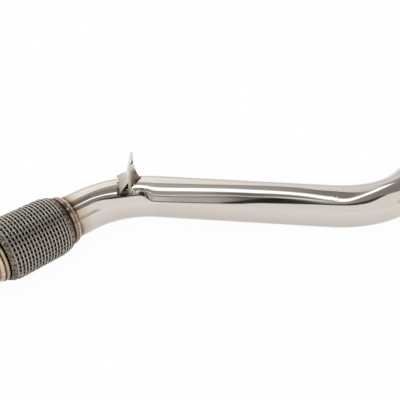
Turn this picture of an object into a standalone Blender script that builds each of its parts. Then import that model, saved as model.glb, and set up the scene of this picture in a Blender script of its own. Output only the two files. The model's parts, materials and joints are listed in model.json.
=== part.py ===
"""Turbo downpipe: a three inch stainless tube with two bends, a braided flex coupling and a hanger bracket.

Lengths are in metres and +Z is up. The pipe is laid out flat first, with its straight run along +X, and
every piece hangs from the empty "downpipe". That empty is then turned to the pose in which the finished
pipe comes to rest on a floor, with the middle of its footprint over the origin.
"""

import math

import bmesh
import bpy
import numpy as np
from mathutils import Matrix, Vector

MM = 0.001
MERGE = 0.01 * MM
SHARP_ANGLE = math.radians(35)

# Clearances
SEAM_GAP = 0.3 * MM
SLIDE_GAP = 0.3 * MM

# Main tube
TUBE_OD = 76.2 * MM
TUBE_WALL = 1.6 * MM
TUBE_SIDES = 28
BEND_STEP = math.radians(7.0)

# Centre line, from the turbo to the tail
INLET_LENGTH = 46.0 * MM
FRONT_TANGENT = 35.0 * MM
FRONT_BEND_RADIUS = 151.0 * MM
FRONT_BEND_ANGLE = math.radians(53.0)
RUN_LENGTH = 316.0 * MM
REAR_BEND_RADIUS = 181.0 * MM
REAR_BEND_ANGLE = math.radians(53.0)
OUTLET_TANGENT = 70.0 * MM

# Butt welds between the tubes, a little way along the straight run from each bend
SEAM_OFFSET = 4.0 * MM
SEAM_WIDTH = 2.4 * MM
SEAM_CROWN = 0.2 * MM

# Collars at both ends of the flex coupling
COLLAR_WALL = 3.9 * MM
COLLAR_INNER_END = 48.0 * MM
COLLAR_OUTER_END = 68.0 * MM
COLLAR_EDGE = 0.8 * MM
TUBE_INSERT = 10.0 * MM
COLLAR_WELD_WIDTH = 7.0 * MM
COLLAR_WELD_HEIGHT = 3.3 * MM
RING_SIDES = 28

# Woven sleeve of the flex coupling
SLEEVE_RINGS = 18
RING_PITCH = 5.7 * MM
SLEEVE_RADIUS = 52.2 * MM
SLEEVE_END_RADIUS = 49.6 * MM
SLEEVE_TAPER = 14.0 * MM
RING_HEIGHT = 1.6 * MM
SLEEVE_WALL = 1.3 * MM
SLEEVE_SIDES = 32
SLEEVE_LIP = 60.0 * MM
LIP_WALL = 1.5 * MM
GAP_COLUMNS = 8
GAP_ROWS = 12
GAP_WIDTH = 4.2 * MM
GAP_LENGTH = 3.0 * MM
GAP_CUTTER_DEPTH = 7.8 * MM

# End bands that crimp the sleeve
BAND_INNER_END = 52.4 * MM
BAND_OUTER_END = 61.2 * MM
BAND_WALL = 2.4 * MM
BAND_ROLL = 0.6 * MM
BAND_LIP = 1.1 * MM
BAND_CORNER = 1.8 * MM

# Bellows inside the sleeve
BELLOWS_WALL = 0.8 * MM
BELLOWS_FOLDS = 7
BELLOWS_HEIGHT = 4.6 * MM
CREST_SHARE = 0.44
BELLOWS_SIDES = 28
CUFF_END = 59.0 * MM
FOLDS_HALF = 38.0 * MM

# Interlocked liner
LINER_RIBS = 6
LINER_RIB_HEIGHT = 0.6 * MM
LINER_SIDES = 24

# Weld beads round the tube: places on the bead's outline, as shares of its width and height
BEAD_TOE = 0.25
BEAD_SHOULDER = (0.62, 0.72)
BEAD_CROWN = 0.12
BEAD_ROOT = 0.8

# Flange that clamps to the turbo
FLANGE_RADIUS = 49.5 * MM
FLANGE_LENGTH = 16.0 * MM
FLANGE_RIM = 5.0 * MM
FLANGE_CONE = 4.5 * MM
FLANGE_HUB_WALL = 4.2 * MM
FLANGE_INSERT = 9.0 * MM
FLANGE_WELD_WIDTH = 5.0 * MM
FLANGE_WELD_HEIGHT = 3.3 * MM
FLANGE_EDGE = 0.8 * MM

# Hanger bracket over the front bend. Its corners are places on the sheet's outer face, in millimetres: along
# the tube, to the tube's outer side, and above the tube's centre.
BRACKET_ANGLE = math.radians(29.5)
BRACKET_SHEET = 3.0 * MM
RIDGE_BACK = (25.8, -7.7, 60.3)
RIDGE_MIDDLE = (23.6, -17.6, 53.5)
RIDGE_FRONT = (19.9, -26.0, 46.0)
WING_TIP = (-0.5, -27.6, 26.3)
WING_FOOT = (2.3, -16.7, 34.0)
WING_EDGE = (6.0, -8.9, 41.2)
WING_NOTCH = (8.5, -4.8, 45.5)
WING_HORN = (5.5, 3.7, 46.7)
WING_TOP = (12.7, -0.3, 51.6)
LIP_BACK = (48.0, -1.4, 38.7)
LIP_MIDDLE = (40.0, -10.3, 37.8)
LIP_FRONT = (32.8, -17.2, 35.7)
LEG_TOP = (25.4, -23.8, 39.8)
LEG_OUTER = (24.5, -27.8, 26.4)
LEG_INNER = (18.3, -32.2, 23.0)

# Feet of the sheet run on below the tube's face before the seat is cut
FOOT_DEPTH = 4.0 * MM
LIP_BACK_DEPTH = 4.0 * MM

# The ear stands upright on the ridge's back end, turned away from the tube's direction. Its edge is given by
# places along its foot and above it, also in millimetres.
EAR_TURN = math.radians(30.7)
EAR_EDGE = [(23.9, -18.8), (19.5, -8.8), (16.7, -1.4), (15.4, 7.5)]
EAR_TIP = (13.1, 28.4)
EAR_TIP_RADIUS = 2.3 * MM
EAR_TIP_STEPS = 6
EAR_HOLE = (9.8, 11.3)
EAR_HOLE_RADIUS = 3.8 * MM
EAR_HOLE_SIDES = 16

# Weld beads on the tube, by the millimetres along it from the bracket's middle and the angle up from level on
# the bend's inner side
BEAD_RADIUS = 1.3 * MM
BEAD_CLEARANCE = 1.8 * MM
BEAD_SIDES = 8
BEAD_STEPS = 2
SEAT_SIDES = 56
LEFT_BEAD = [
    (-2.6, math.radians(39)),
    (-1.5, math.radians(43.6)),
    (0.3, math.radians(54)),
    (1.9, math.radians(63.8)),
]
RIGHT_BEAD = [(48.8, math.radians(97)), (43.6, math.radians(82.9)), (38.2, math.radians(69.7))]
LEG_BEAD = [(31.4, math.radians(48)), (28.0, math.radians(41.5)), (25.0, math.radians(35.5))]

# Rounds of looking for the facet that the pipe rests on, and how far its normal points down at least
REST_ROUNDS = 4
UNDERSIDE = -0.2

TUBE_RADIUS = TUBE_OD / 2
BORE_RADIUS = TUBE_RADIUS - TUBE_WALL
FLEX_CENTRE = FRONT_TANGENT + COLLAR_OUTER_END + COLLAR_WELD_WIDTH
COLLAR_BORE = TUBE_RADIUS + SLIDE_GAP
COLLAR_RADIUS = COLLAR_BORE + COLLAR_WALL


def clear_scene():
    for obj in list(bpy.data.objects):
        bpy.data.objects.remove(obj, do_unlink=True)


def new_collection(name):
    collection = bpy.data.collections.new(name)
    bpy.context.scene.collection.children.link(collection)
    return collection


def steel(name, color, roughness, metallic=1.0):
    material = bpy.data.materials.new(name)
    material.use_nodes = True
    shader = material.node_tree.nodes["Principled BSDF"]
    shader.inputs["Base Color"].default_value = (*color, 1.0)
    shader.inputs["Roughness"].default_value = roughness
    shader.inputs["Metallic"].default_value = metallic
    material.diffuse_color = (*color, 1.0)
    return material


def place(obj, parent, matrix):
    """Hangs an object from an empty, with its own axes given by the matrix."""
    obj.parent = parent
    obj.matrix_local = matrix


def shade(obj, material):
    obj.data.materials.clear()
    obj.data.materials.append(material)
    obj.data.shade_smooth()
    obj.data.set_sharp_from_angle(angle=SHARP_ANGLE)


def empty(name, parent, matrix):
    obj = bpy.data.objects.new(name, None)
    PARTS.objects.link(obj)
    place(obj, parent, matrix)
    return obj


def turned(name, profile, material, parent, matrix, sides):
    """A ring turned about its own Z from a closed (radius, height) outline: outer side first, downwards."""
    mesh = bpy.data.meshes.new(name)
    count = len(profile)
    mesh.from_pydata([(r, 0, z) for r, z in profile], [(i, (i + 1) % count) for i in range(count)], [])
    obj = bpy.data.objects.new(name, mesh)
    PARTS.objects.link(obj)
    screw = obj.modifiers.new("Turn", "SCREW")
    screw.steps = sides
    screw.render_steps = sides
    screw.use_merge_vertices = True
    screw.merge_threshold = MERGE
    screw.use_smooth_shade = True
    place(obj, parent, matrix)
    obj.data.materials.append(material)
    return obj


def welded_mesh(curve_object):
    """The mesh of a curve object, with its loose caps joined to its sides."""
    graph = bpy.context.evaluated_depsgraph_get()
    mesh = bpy.data.meshes.new_from_object(curve_object.evaluated_get(graph))
    shape = bmesh.new()
    shape.from_mesh(mesh)
    bmesh.ops.remove_doubles(shape, verts=shape.verts, dist=MERGE)
    bmesh.ops.recalc_face_normals(shape, faces=shape.faces)
    shape.to_mesh(mesh)
    shape.free()
    return mesh


def swept(name, points, radius, sides, capped):
    """A mesh object swept along a line of points, as a curve with a round bevel."""
    curve = bpy.data.curves.new(name, "CURVE")
    curve.dimensions = "3D"
    curve.bevel_depth = radius
    curve.bevel_resolution = (sides - 4) // 2
    curve.use_fill_caps = capped
    spline = curve.splines.new("POLY")
    spline.points.add(len(points) - 1)
    for point, place_at in zip(spline.points, points):
        point.co = (*place_at, 1)
    guide = bpy.data.objects.new(name + "_line", curve)
    bpy.context.scene.collection.objects.link(guide)
    bpy.context.view_layer.update()
    obj = bpy.data.objects.new(name, welded_mesh(guide))
    obj.matrix_world = guide.matrix_world
    bpy.data.objects.remove(guide, do_unlink=True)
    bpy.data.curves.remove(curve)
    return obj


def tube(name, points, material, parent):
    """A stretch of the main tube, open at both ends."""
    obj = swept(name, points, TUBE_RADIUS, TUBE_SIDES, capped=False)
    PARTS.objects.link(obj)
    wall = obj.modifiers.new("Wall", "SOLIDIFY")
    wall.thickness = TUBE_WALL
    wall.offset = -1
    wall.use_even_offset = True
    place(obj, parent, Matrix.Identity(4))
    shade(obj, material)
    return obj


def cutter(obj, parent, matrix):
    """Keeps an object as a hidden cutting tool."""
    CUTTERS.objects.link(obj)
    obj.hide_render = True
    obj.display_type = "WIRE"
    place(obj, parent, matrix)
    return obj


def cut(obj, tool):
    boolean = obj.modifiers.new("Cut", "BOOLEAN")
    boolean.operation = "DIFFERENCE"
    boolean.solver = "EXACT"
    boolean.object = tool


def arc_point(centre, radius, angle, start, side):
    """A point on a bend: angle is measured from the radius that points along start, towards side."""
    return centre + radius * (math.cos(angle) * start + math.sin(angle) * side)


def arc_line(centre, radius, first, last, start, side):
    count = max(2, math.ceil(abs(last - first) / BEND_STEP))
    return [
        arc_point(centre, radius, first + (last - first) * i / count, start, side) for i in range(count + 1)
    ]


class CentreLine:
    """The pipe's centre line, flat at height zero, with the straight run along +X from the origin."""

    def __init__(self):
        self.front_centre = Vector((0, -FRONT_BEND_RADIUS, 0))
        self.rear_centre = Vector((RUN_LENGTH, REAR_BEND_RADIUS, 0))
        turn = FRONT_BEND_ANGLE
        self.front_direction = Vector((-math.cos(turn), -math.sin(turn), 0))
        self.front_end = self.front_point(turn)
        turn = REAR_BEND_ANGLE
        self.rear_direction = Vector((math.cos(turn), math.sin(turn), 0))
        self.rear_end = self.rear_point(turn)

    def front_point(self, angle):
        return arc_point(self.front_centre, FRONT_BEND_RADIUS, angle, Vector((0, 1, 0)), Vector((-1, 0, 0)))

    def rear_point(self, angle):
        return arc_point(self.rear_centre, REAR_BEND_RADIUS, angle, Vector((0, -1, 0)), Vector((1, 0, 0)))

    def front_bend(self, first, last):
        return arc_line(
            self.front_centre, FRONT_BEND_RADIUS, first, last, Vector((0, 1, 0)), Vector((-1, 0, 0))
        )

    def rear_bend(self, first, last):
        return arc_line(
            self.rear_centre, REAR_BEND_RADIUS, first, last, Vector((0, -1, 0)), Vector((1, 0, 0))
        )

    def flex_matrix(self):
        """Axes at the middle of the flex coupling: +Z along it towards the turbo, +Y up."""
        along = self.front_direction
        up = Vector((0, 0, 1))
        across = up.cross(along)
        matrix = Matrix((across, up, along)).transposed().to_4x4()
        matrix.translation = self.front_end + along * FLEX_CENTRE
        return matrix


def build_tubes(line, parent, material):
    """The bent and straight stretches of the main tube."""
    half_seam = SEAM_WIDTH / 2 + SEAM_GAP
    tube_end = FRONT_TANGENT + COLLAR_WELD_WIDTH + TUBE_INSERT
    front = [line.front_end + line.front_direction * tube_end]
    front += reversed(line.front_bend(0, FRONT_BEND_ANGLE))
    front.append(Vector((SEAM_OFFSET - half_seam, 0, 0)))
    tube("front_bend", front, material, parent)
    run = [
        Vector((SEAM_OFFSET + half_seam, 0, 0)),
        Vector((RUN_LENGTH - SEAM_OFFSET - half_seam, 0, 0)),
    ]
    tube("long_tube", run, material, parent)
    rear = [Vector((RUN_LENGTH - SEAM_OFFSET + half_seam, 0, 0))]
    rear += line.rear_bend(0, REAR_BEND_ANGLE)
    rear.append(line.rear_end + line.rear_direction * OUTLET_TANGENT)
    tube("rear_bend", rear, material, parent)


def build_seams(parent, material):
    """Butt welds, polished down to a faint crown."""
    half = SEAM_WIDTH / 2
    outline = [
        (TUBE_RADIUS, half),
        (TUBE_RADIUS + SEAM_CROWN, 0),
        (TUBE_RADIUS, -half),
        (BORE_RADIUS, -half),
        (BORE_RADIUS, half),
    ]
    across = Matrix.Rotation(math.pi / 2, 4, "Y")
    for name, x in (("front_seam_weld", SEAM_OFFSET), ("rear_seam_weld", RUN_LENGTH - SEAM_OFFSET)):
        turned(name, outline, material, parent, Matrix.Translation((x, 0, 0)) @ across, TUBE_SIDES)


def collar_outline():
    return [
        (COLLAR_RADIUS - COLLAR_EDGE, COLLAR_OUTER_END),
        (COLLAR_RADIUS, COLLAR_OUTER_END - COLLAR_EDGE),
        (COLLAR_RADIUS, COLLAR_INNER_END),
        (COLLAR_BORE, COLLAR_INNER_END),
        (COLLAR_BORE, COLLAR_OUTER_END),
    ]


def fillet_weld_outline(start, width, height):
    """A convex bead in the corner between the tube and a face at height start."""
    base = TUBE_RADIUS + SLIDE_GAP
    foot = start + SEAM_GAP
    return [
        (base + BEAD_TOE * height, start + width),
        (base + BEAD_SHOULDER[1] * height, start + BEAD_SHOULDER[0] * width),
        (base + height, foot + BEAD_CROWN * width),
        (base + BEAD_ROOT * height, foot),
        (base, foot),
        (base, start + width),
    ]


def band_outline():
    inner = lip_radius() + SLIDE_GAP
    outer = inner + BAND_WALL
    middle = (BAND_INNER_END + BAND_OUTER_END) / 2
    return [
        (inner + BAND_LIP, BAND_OUTER_END),
        (outer - BAND_ROLL, BAND_OUTER_END - BAND_CORNER),
        (outer, middle),
        (outer, BAND_INNER_END),
        (inner, BAND_INNER_END),
        (inner, BAND_OUTER_END),
    ]


def cuff_radius():
    """Outer radius of the bellows' cuff, which slides over the collar."""
    return COLLAR_RADIUS + SLIDE_GAP + BELLOWS_WALL


def lip_radius():
    """Outer radius of the sleeve's ends, which lie over the bellows' cuffs."""
    return cuff_radius() + SLIDE_GAP + LIP_WALL


def sleeve_radius(z):
    """Outer radius of the woven sleeve, which swells between its ends."""
    reach = SLEEVE_RINGS * RING_PITCH / 2
    near_end = min(1.0, (reach - abs(z)) / SLEEVE_TAPER)
    return SLEEVE_END_RADIUS + (SLEEVE_RADIUS - SLEEVE_END_RADIUS) * math.sin(near_end * math.pi / 2)


def sleeve_outline():
    """Outline of the sleeve: a lip under each band, and a row of rings between them."""
    reach = SLEEVE_RINGS * RING_PITCH / 2
    rings = []
    for i in range(SLEEVE_RINGS):
        z = reach - (i + 0.5) * RING_PITCH
        rings.append((sleeve_radius(z), z))
        if i < SLEEVE_RINGS - 1:
            valley = z - RING_PITCH / 2
            rings.append((sleeve_radius(valley) - RING_HEIGHT, valley))
    lip = lip_radius()
    lip_bore = lip - LIP_WALL
    outer = [(lip, SLEEVE_LIP), (lip, reach), *rings, (lip, -reach), (lip, -SLEEVE_LIP)]
    wide = SLEEVE_RADIUS - RING_HEIGHT - SLEEVE_WALL
    turn = reach - SLEEVE_TAPER
    inner = [(lip_bore, -SLEEVE_LIP), (lip_bore, -reach), (wide, -turn), (wide, turn)]
    return outer + inner + [(lip_bore, reach), (lip_bore, SLEEVE_LIP)]


def gap_cutters(parent):
    """One mesh of small blocks, at the gaps between the rings and in straight rows along the sleeve."""
    shape = bmesh.new()
    sector = math.tau / SLEEVE_SIDES
    for column in range(GAP_COLUMNS):
        face = round(column * SLEEVE_SIDES / GAP_COLUMNS)
        turn = Matrix.Rotation((face + 0.5) * sector, 4, "Z")
        for row in range(GAP_ROWS):
            z = (row - (GAP_ROWS - 1) / 2) * RING_PITCH
            at = Matrix.Translation((sleeve_radius(z) - RING_HEIGHT, 0, z))
            size = Matrix.Diagonal((GAP_CUTTER_DEPTH, GAP_WIDTH, GAP_LENGTH, 1))
            bmesh.ops.create_cube(shape, size=1, matrix=turn @ at @ size)
    mesh = bpy.data.meshes.new("sleeve_gaps")
    shape.to_mesh(mesh)
    shape.free()
    return cutter(bpy.data.objects.new("sleeve_gaps", mesh), parent, Matrix.Identity(4))


def bellows_outline():
    """Two cuffs and a row of folds, as one thin wall."""
    root = cuff_radius()
    crest = root + BELLOWS_HEIGHT
    pitch = 2 * FOLDS_HALF / BELLOWS_FOLDS
    flat = CREST_SHARE * pitch / 2
    outer = [(root, CUFF_END), (root, FOLDS_HALF)]
    for i in range(BELLOWS_FOLDS):
        z = FOLDS_HALF - (i + 0.5) * pitch
        outer += [(crest, z + flat), (crest, z - flat)]
        if i < BELLOWS_FOLDS - 1:
            outer.append((root, z - pitch / 2))
    outer += [(root, -FOLDS_HALF), (root, -CUFF_END)]
    inner = [(radius - BELLOWS_WALL, z) for radius, z in reversed(outer)]
    return outer + inner


def liner_outline():
    """The liner's interlocked strip, as ribs on a straight bore. It reaches into both collars."""
    end = COLLAR_OUTER_END - TUBE_INSERT - SEAM_GAP
    outer = [(TUBE_RADIUS, end)]
    pitch = 2 * COLLAR_INNER_END / LINER_RIBS
    for i in range(LINER_RIBS + 1):
        z = COLLAR_INNER_END - i * pitch
        outer.append((TUBE_RADIUS, z))
        if i < LINER_RIBS:
            outer.append((TUBE_RADIUS - LINER_RIB_HEIGHT, z - pitch / 2))
    outer.append((TUBE_RADIUS, -end))
    return outer + [(BORE_RADIUS, -end), (BORE_RADIUS, end)]


def flange_outline(start):
    """A V-band flange: a hub over the inlet tube, a cone and a flat sealing face."""
    hub = TUBE_RADIUS + SLIDE_GAP + FLANGE_HUB_WALL
    face = start + FLANGE_LENGTH
    rim = face - FLANGE_RIM
    return [
        (FLANGE_RADIUS - FLANGE_EDGE, face),
        (FLANGE_RADIUS, face - FLANGE_EDGE),
        (FLANGE_RADIUS, rim),
        (hub, rim - FLANGE_CONE),
        (hub, start),
        (TUBE_RADIUS + SLIDE_GAP, start),
        (TUBE_RADIUS + SLIDE_GAP, start + FLANGE_INSERT + SEAM_GAP),
        (BORE_RADIUS, start + FLANGE_INSERT + SEAM_GAP),
        (BORE_RADIUS, face),
    ]


def build_flex(line, root, steels):
    """The flex coupling, and the inlet that it carries. Both moving groups turn about its middle."""
    middle = line.flex_matrix()
    core = empty("flex_core", root, middle)
    inlet = empty("inlet", core, Matrix.Identity(4))
    rear = empty("flex_rear", root, middle @ Matrix.Rotation(math.pi, 4, "X"))
    same = Matrix.Identity(4)
    weld_start = COLLAR_OUTER_END
    for side, carrier in (("rear", rear), ("front", inlet)):
        turned(side + "_collar", collar_outline(), steels["collar"], carrier, same, RING_SIDES)
        turned(side + "_end_band", band_outline(), steels["band"], carrier, same, RING_SIDES)
        bead = fillet_weld_outline(weld_start, COLLAR_WELD_WIDTH, COLLAR_WELD_HEIGHT)
        turned(side + "_collar_weld", bead, steels["weld"], carrier, same, RING_SIDES)
    sleeve = turned("flex_braid", sleeve_outline(), steels["braid"], core, same, SLEEVE_SIDES)
    cut(sleeve, gap_cutters(core))
    turned("flex_bellows", bellows_outline(), steels["collar"], core, same, BELLOWS_SIDES)
    turned("flex_liner", liner_outline(), steels["collar"], core, same, LINER_SIDES)
    start = COLLAR_OUTER_END - TUBE_INSERT
    end = COLLAR_OUTER_END + COLLAR_WELD_WIDTH + INLET_LENGTH
    outline = [(TUBE_RADIUS, end), (TUBE_RADIUS, start), (BORE_RADIUS, start), (BORE_RADIUS, end)]
    turned("inlet_tube", outline, steels["tube"], inlet, same, TUBE_SIDES)
    flange_start = end - FLANGE_INSERT
    turned("inlet_flange", flange_outline(flange_start), steels["tube"], inlet, same, RING_SIDES)
    bead = fillet_weld_outline(-flange_start, FLANGE_WELD_WIDTH, FLANGE_WELD_HEIGHT)
    flipped = Matrix.Rotation(math.pi, 4, "X")
    turned("inlet_flange_weld", bead, steels["weld"], inlet, flipped, RING_SIDES)


def bracket_matrix(line):
    """Axes on the tube's centre under the bracket: +X along the tube, +Y to its outer side, +Z up."""
    angle = BRACKET_ANGLE
    along = Vector((math.cos(angle), math.sin(angle), 0))
    up = Vector((0, 0, 1))
    matrix = Matrix((along, up.cross(along), up)).transposed().to_4x4()
    matrix.translation = line.front_point(angle)
    return matrix


def corner(place_at):
    """A corner of the bracket from its place in millimetres."""
    return Vector(place_at) * MM


def seated(foot, top):
    """A foot corner run on past the tube's face, away from an upper corner, for the seat cut to trim."""
    return foot + (foot - top).normalized() * FOOT_DEPTH


def on_ear(place_at):
    """A place on the ear's outer face: along its foot from the ridge, and up."""
    along = Vector((math.cos(EAR_TURN), math.sin(EAR_TURN), 0))
    up = Vector((0, 0, 1))
    return corner(RIDGE_BACK) + (along * place_at[0] + up * place_at[1]) * MM


def on_bend(line, along, around):
    """Middle of a bead on the front bend: a length along from the bracket's station, and an angle up from
    level on the bend's inner side."""
    angle = BRACKET_ANGLE - along * MM / FRONT_BEND_RADIUS
    centre = line.front_point(angle)
    inward = (line.front_centre - centre).normalized()
    reach = TUBE_RADIUS + BEAD_CLEARANCE
    return centre + reach * (math.cos(around) * inward + math.sin(around) * Vector((0, 0, 1)))


def between(stations, steps):
    """The stations of a line, with more put evenly between them."""
    fine = []
    for (s0, a0), (s1, a1) in zip(stations, stations[1:]):
        fine += [(s0 + (s1 - s0) * i / steps, a0 + (a1 - a0) * i / steps) for i in range(steps)]
    return fine + [stations[-1]]


def drill(name, radius, depth):
    """A short cylinder about its own Z."""
    mesh = bpy.data.meshes.new(name)
    shape = bmesh.new()
    sides = EAR_HOLE_SIDES
    bmesh.ops.create_cone(shape, cap_ends=True, segments=sides, radius1=radius, radius2=radius, depth=depth)
    shape.to_mesh(mesh)
    shape.free()
    return bpy.data.objects.new(name, mesh)


def ear_outline():
    """The ear's free edge, from its right foot over the rounded tip."""
    edge = [on_ear(place_at) for place_at in EAR_EDGE]
    radius = EAR_TIP_RADIUS / MM
    for i in range(EAR_TIP_STEPS + 1):
        angle = math.pi * i / EAR_TIP_STEPS
        edge.append(on_ear((EAR_TIP[0] + radius * math.cos(angle), EAR_TIP[1] + radius * math.sin(angle))))
    return edge


def bracket_sheet():
    """The folded sheet as an open surface: a left wing and a right lip that meet in a ridge, an upright
    ear on the ridge's back end, a roof between the ear and the lip, and a leg under the ridge's front."""
    ear = ear_outline()
    middle = corner(RIDGE_MIDDLE)
    front = corner(RIDGE_FRONT)
    corners = {
        "ridge_back": corner(RIDGE_BACK),
        "ridge_middle": middle,
        "ridge_front": front,
        "wing_tip": seated(corner(WING_TIP), front),
        "wing_foot": seated(corner(WING_FOOT), middle),
        "wing_edge": corner(WING_EDGE),
        "wing_notch": corner(WING_NOTCH),
        "wing_horn": corner(WING_HORN),
        "wing_top": corner(WING_TOP),
        "lip_back": seated(corner(LIP_BACK), middle) - Vector((0, 0, LIP_BACK_DEPTH)),
        "lip_middle": seated(corner(LIP_MIDDLE), middle),
        "lip_front": seated(corner(LIP_FRONT), middle),
        "leg_top": corner(LEG_TOP),
        "leg_outer": seated(corner(LEG_OUTER), corner(LEG_TOP)),
        "leg_inner": seated(corner(LEG_INNER), front),
        **{f"ear_{i}": point for i, point in enumerate(ear)},
    }
    wing = ("wing_top", "wing_horn", "wing_notch", "wing_edge", "wing_foot", "wing_tip")
    panels = [
        ("ridge_front", "ridge_middle", "ridge_back", *wing),
        ("ridge_back", "ridge_middle", "lip_back"),
        ("ridge_back", "lip_back", "ear_0"),
        ("ridge_back", *(f"ear_{i}" for i in range(len(ear)))),
        ("ridge_middle", "ridge_front", "leg_top"),
        ("ridge_middle", "leg_top", "lip_front"),
        ("ridge_middle", "lip_front", "lip_middle"),
        ("ridge_middle", "lip_middle", "lip_back"),
        ("ridge_front", "leg_inner", "leg_top"),
        ("leg_top", "leg_inner", "leg_outer"),
    ]
    names = list(corners)
    mesh = bpy.data.meshes.new("hanger_bracket")
    faces = [[names.index(name) for name in panel] for panel in panels]
    mesh.from_pydata([corners[name] for name in names], [], faces)
    return mesh


def build_bracket(line, root, steels):
    """The folded hanger bracket, cut to sit on the tube, and the beads at its feet."""
    matrix = bracket_matrix(line)
    obj = bpy.data.objects.new("hanger_bracket", bracket_sheet())
    PARTS.objects.link(obj)
    wall = obj.modifiers.new("Sheet", "SOLIDIFY")
    wall.thickness = BRACKET_SHEET
    wall.offset = -1
    wall.use_even_offset = True
    place(obj, root, matrix)
    under = line.front_bend(0, FRONT_BEND_ANGLE)
    seat = swept("bracket_seat", under, TUBE_RADIUS + SEAM_GAP, SEAT_SIDES, True)
    cut(obj, cutter(seat, root, Matrix.Identity(4)))
    turn = Matrix.Rotation(EAR_TURN, 4, "Z") @ Matrix.Rotation(math.pi / 2, 4, "X")
    at_hole = matrix @ Matrix.Translation(on_ear(EAR_HOLE)) @ turn
    cut(obj, cutter(drill("ear_hole", EAR_HOLE_RADIUS, 4 * BRACKET_SHEET), root, at_hole))
    obj.data.materials.append(steels["bracket"])
    beads = {"left": LEFT_BEAD, "right": RIGHT_BEAD, "leg": LEG_BEAD}
    for side, stations in beads.items():
        points = [on_bend(line, along, around) for along, around in between(stations, BEAD_STEPS)]
        bead = swept(side + "_bracket_weld", points, BEAD_RADIUS, BEAD_SIDES, True)
        PARTS.objects.link(bead)
        place(bead, root, Matrix.Identity(4))
        shade(bead, steels["weld"])


def evaluated_triangles(obj, graph):
    """World corners of an object's triangles, as an array of triangles by corners by axes."""
    held = obj.evaluated_get(graph)
    mesh = held.to_mesh()
    mesh.calc_loop_triangles()
    points = np.array([held.matrix_world @ vertex.co for vertex in mesh.vertices])
    faces = np.array([triangle.vertices[:] for triangle in mesh.loop_triangles])
    held.to_mesh_clear()
    return points[faces]


def support_normal(points, middle):
    """Upward normal of the lower hull facet that a weight at the middle presses on."""
    shape = bmesh.new()
    for point in points:
        shape.verts.new(point)
    bmesh.ops.convex_hull(shape, input=shape.verts, use_existing_faces=False)
    best = None
    for face in shape.faces:
        if face.normal.z > UNDERSIDE:
            continue
        height = face.verts[0].co.z - face.normal.xy.dot(middle.xy - face.verts[0].co.xy) / face.normal.z
        if best is None or height > best[0]:
            best = (height, -face.normal)
    normal = best[1].copy()
    shape.free()
    return normal


def lay_down(root):
    """Turns the pipe to the pose in which it rests on a floor, with its box's middle over the origin."""
    bpy.context.view_layer.update()
    graph = bpy.context.evaluated_depsgraph_get()
    pieces = [obj for obj in PARTS.objects if obj.type == "MESH"]
    triangles = np.concatenate([evaluated_triangles(obj, graph) for obj in pieces])
    volumes = np.linalg.det(triangles)
    middle = Vector((volumes[:, None] * triangles.sum(axis=1)).sum(axis=0) / (4 * volumes.sum()))
    points = np.unique(triangles.reshape(-1, 3).round(7), axis=0)
    pose = Matrix.Identity(3)
    for _ in range(REST_ROUNDS):
        turned_points = points @ np.array(pose).T
        normal = support_normal(turned_points, pose @ middle)
        pose = normal.rotation_difference(Vector((0, 0, 1))).to_matrix() @ pose
    turned_points = points @ np.array(pose).T
    low = turned_points.min(axis=0)
    high = turned_points.max(axis=0)
    centre = (low + high) / 2
    root.matrix_local = Matrix.Translation((-centre[0], -centre[1], -low[2])) @ pose.to_4x4()


def build():
    steels = {
        "tube": steel("polished_steel", (0.78, 0.76, 0.72), 0.12),
        "collar": steel("turned_collar", (0.55, 0.45, 0.36), 0.35),
        "band": steel("end_band", (0.48, 0.45, 0.41), 0.45),
        "weld": steel("heat_tinted_weld", (0.62, 0.46, 0.38), 0.35),
        "braid": steel("woven_wire", (0.46, 0.43, 0.39), 0.4),
        "bracket": steel("bracket_sheet", (0.7, 0.67, 0.62), 0.25),
    }
    root = empty("downpipe", None, Matrix.Identity(4))
    line = CentreLine()
    build_tubes(line, root, steels["tube"])
    build_seams(root, steels["tube"])
    build_flex(line, root, steels)
    build_bracket(line, root, steels)
    lay_down(root)


clear_scene()
PARTS = new_collection("downpipe")
CUTTERS = new_collection("cutters")
build()
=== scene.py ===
"""Scene of a turbo downpipe: a polished stainless pipe with a woven flex coupling and a hanger bracket.

Lengths are in metres. Each sub-assembly is a class that builds its meshes in the pipe's own layout, where
the straight run lies along +X and the bends lie flat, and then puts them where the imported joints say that
the pipe rests.
"""

import json
import logging
import math
from collections.abc import Callable, Mapping, Sequence
from dataclasses import dataclass, field
from enum import Enum

import bmesh
import bpy
import numpy as np
from mathutils import Matrix, Vector


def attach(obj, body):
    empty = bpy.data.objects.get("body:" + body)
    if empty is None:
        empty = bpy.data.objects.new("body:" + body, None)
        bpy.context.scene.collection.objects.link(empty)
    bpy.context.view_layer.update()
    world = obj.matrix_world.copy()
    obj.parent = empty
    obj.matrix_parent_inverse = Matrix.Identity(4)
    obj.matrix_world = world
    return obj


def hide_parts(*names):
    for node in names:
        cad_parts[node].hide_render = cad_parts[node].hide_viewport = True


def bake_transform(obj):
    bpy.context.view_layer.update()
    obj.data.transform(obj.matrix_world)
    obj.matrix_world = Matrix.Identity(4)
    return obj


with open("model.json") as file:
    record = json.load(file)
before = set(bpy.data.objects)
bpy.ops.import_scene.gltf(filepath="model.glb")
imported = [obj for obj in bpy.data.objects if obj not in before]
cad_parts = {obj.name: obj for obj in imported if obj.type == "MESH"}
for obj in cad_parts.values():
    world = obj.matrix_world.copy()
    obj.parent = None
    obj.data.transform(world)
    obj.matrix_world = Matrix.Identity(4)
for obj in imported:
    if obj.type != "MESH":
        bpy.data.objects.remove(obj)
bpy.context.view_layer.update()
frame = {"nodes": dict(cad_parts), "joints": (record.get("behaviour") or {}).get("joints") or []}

LOG = logging.getLogger("downpipe")
UP = np.array([0.0, 0.0, 1.0])
Colour = tuple[float, float, float]
Stops = Sequence[tuple[float, Colour]]
Outline = list[tuple[float, float]]


class Body(Enum):
    """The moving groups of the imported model."""

    PIPE = "pipe"
    CORE = "flex_core"
    INLET = "inlet"


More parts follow.
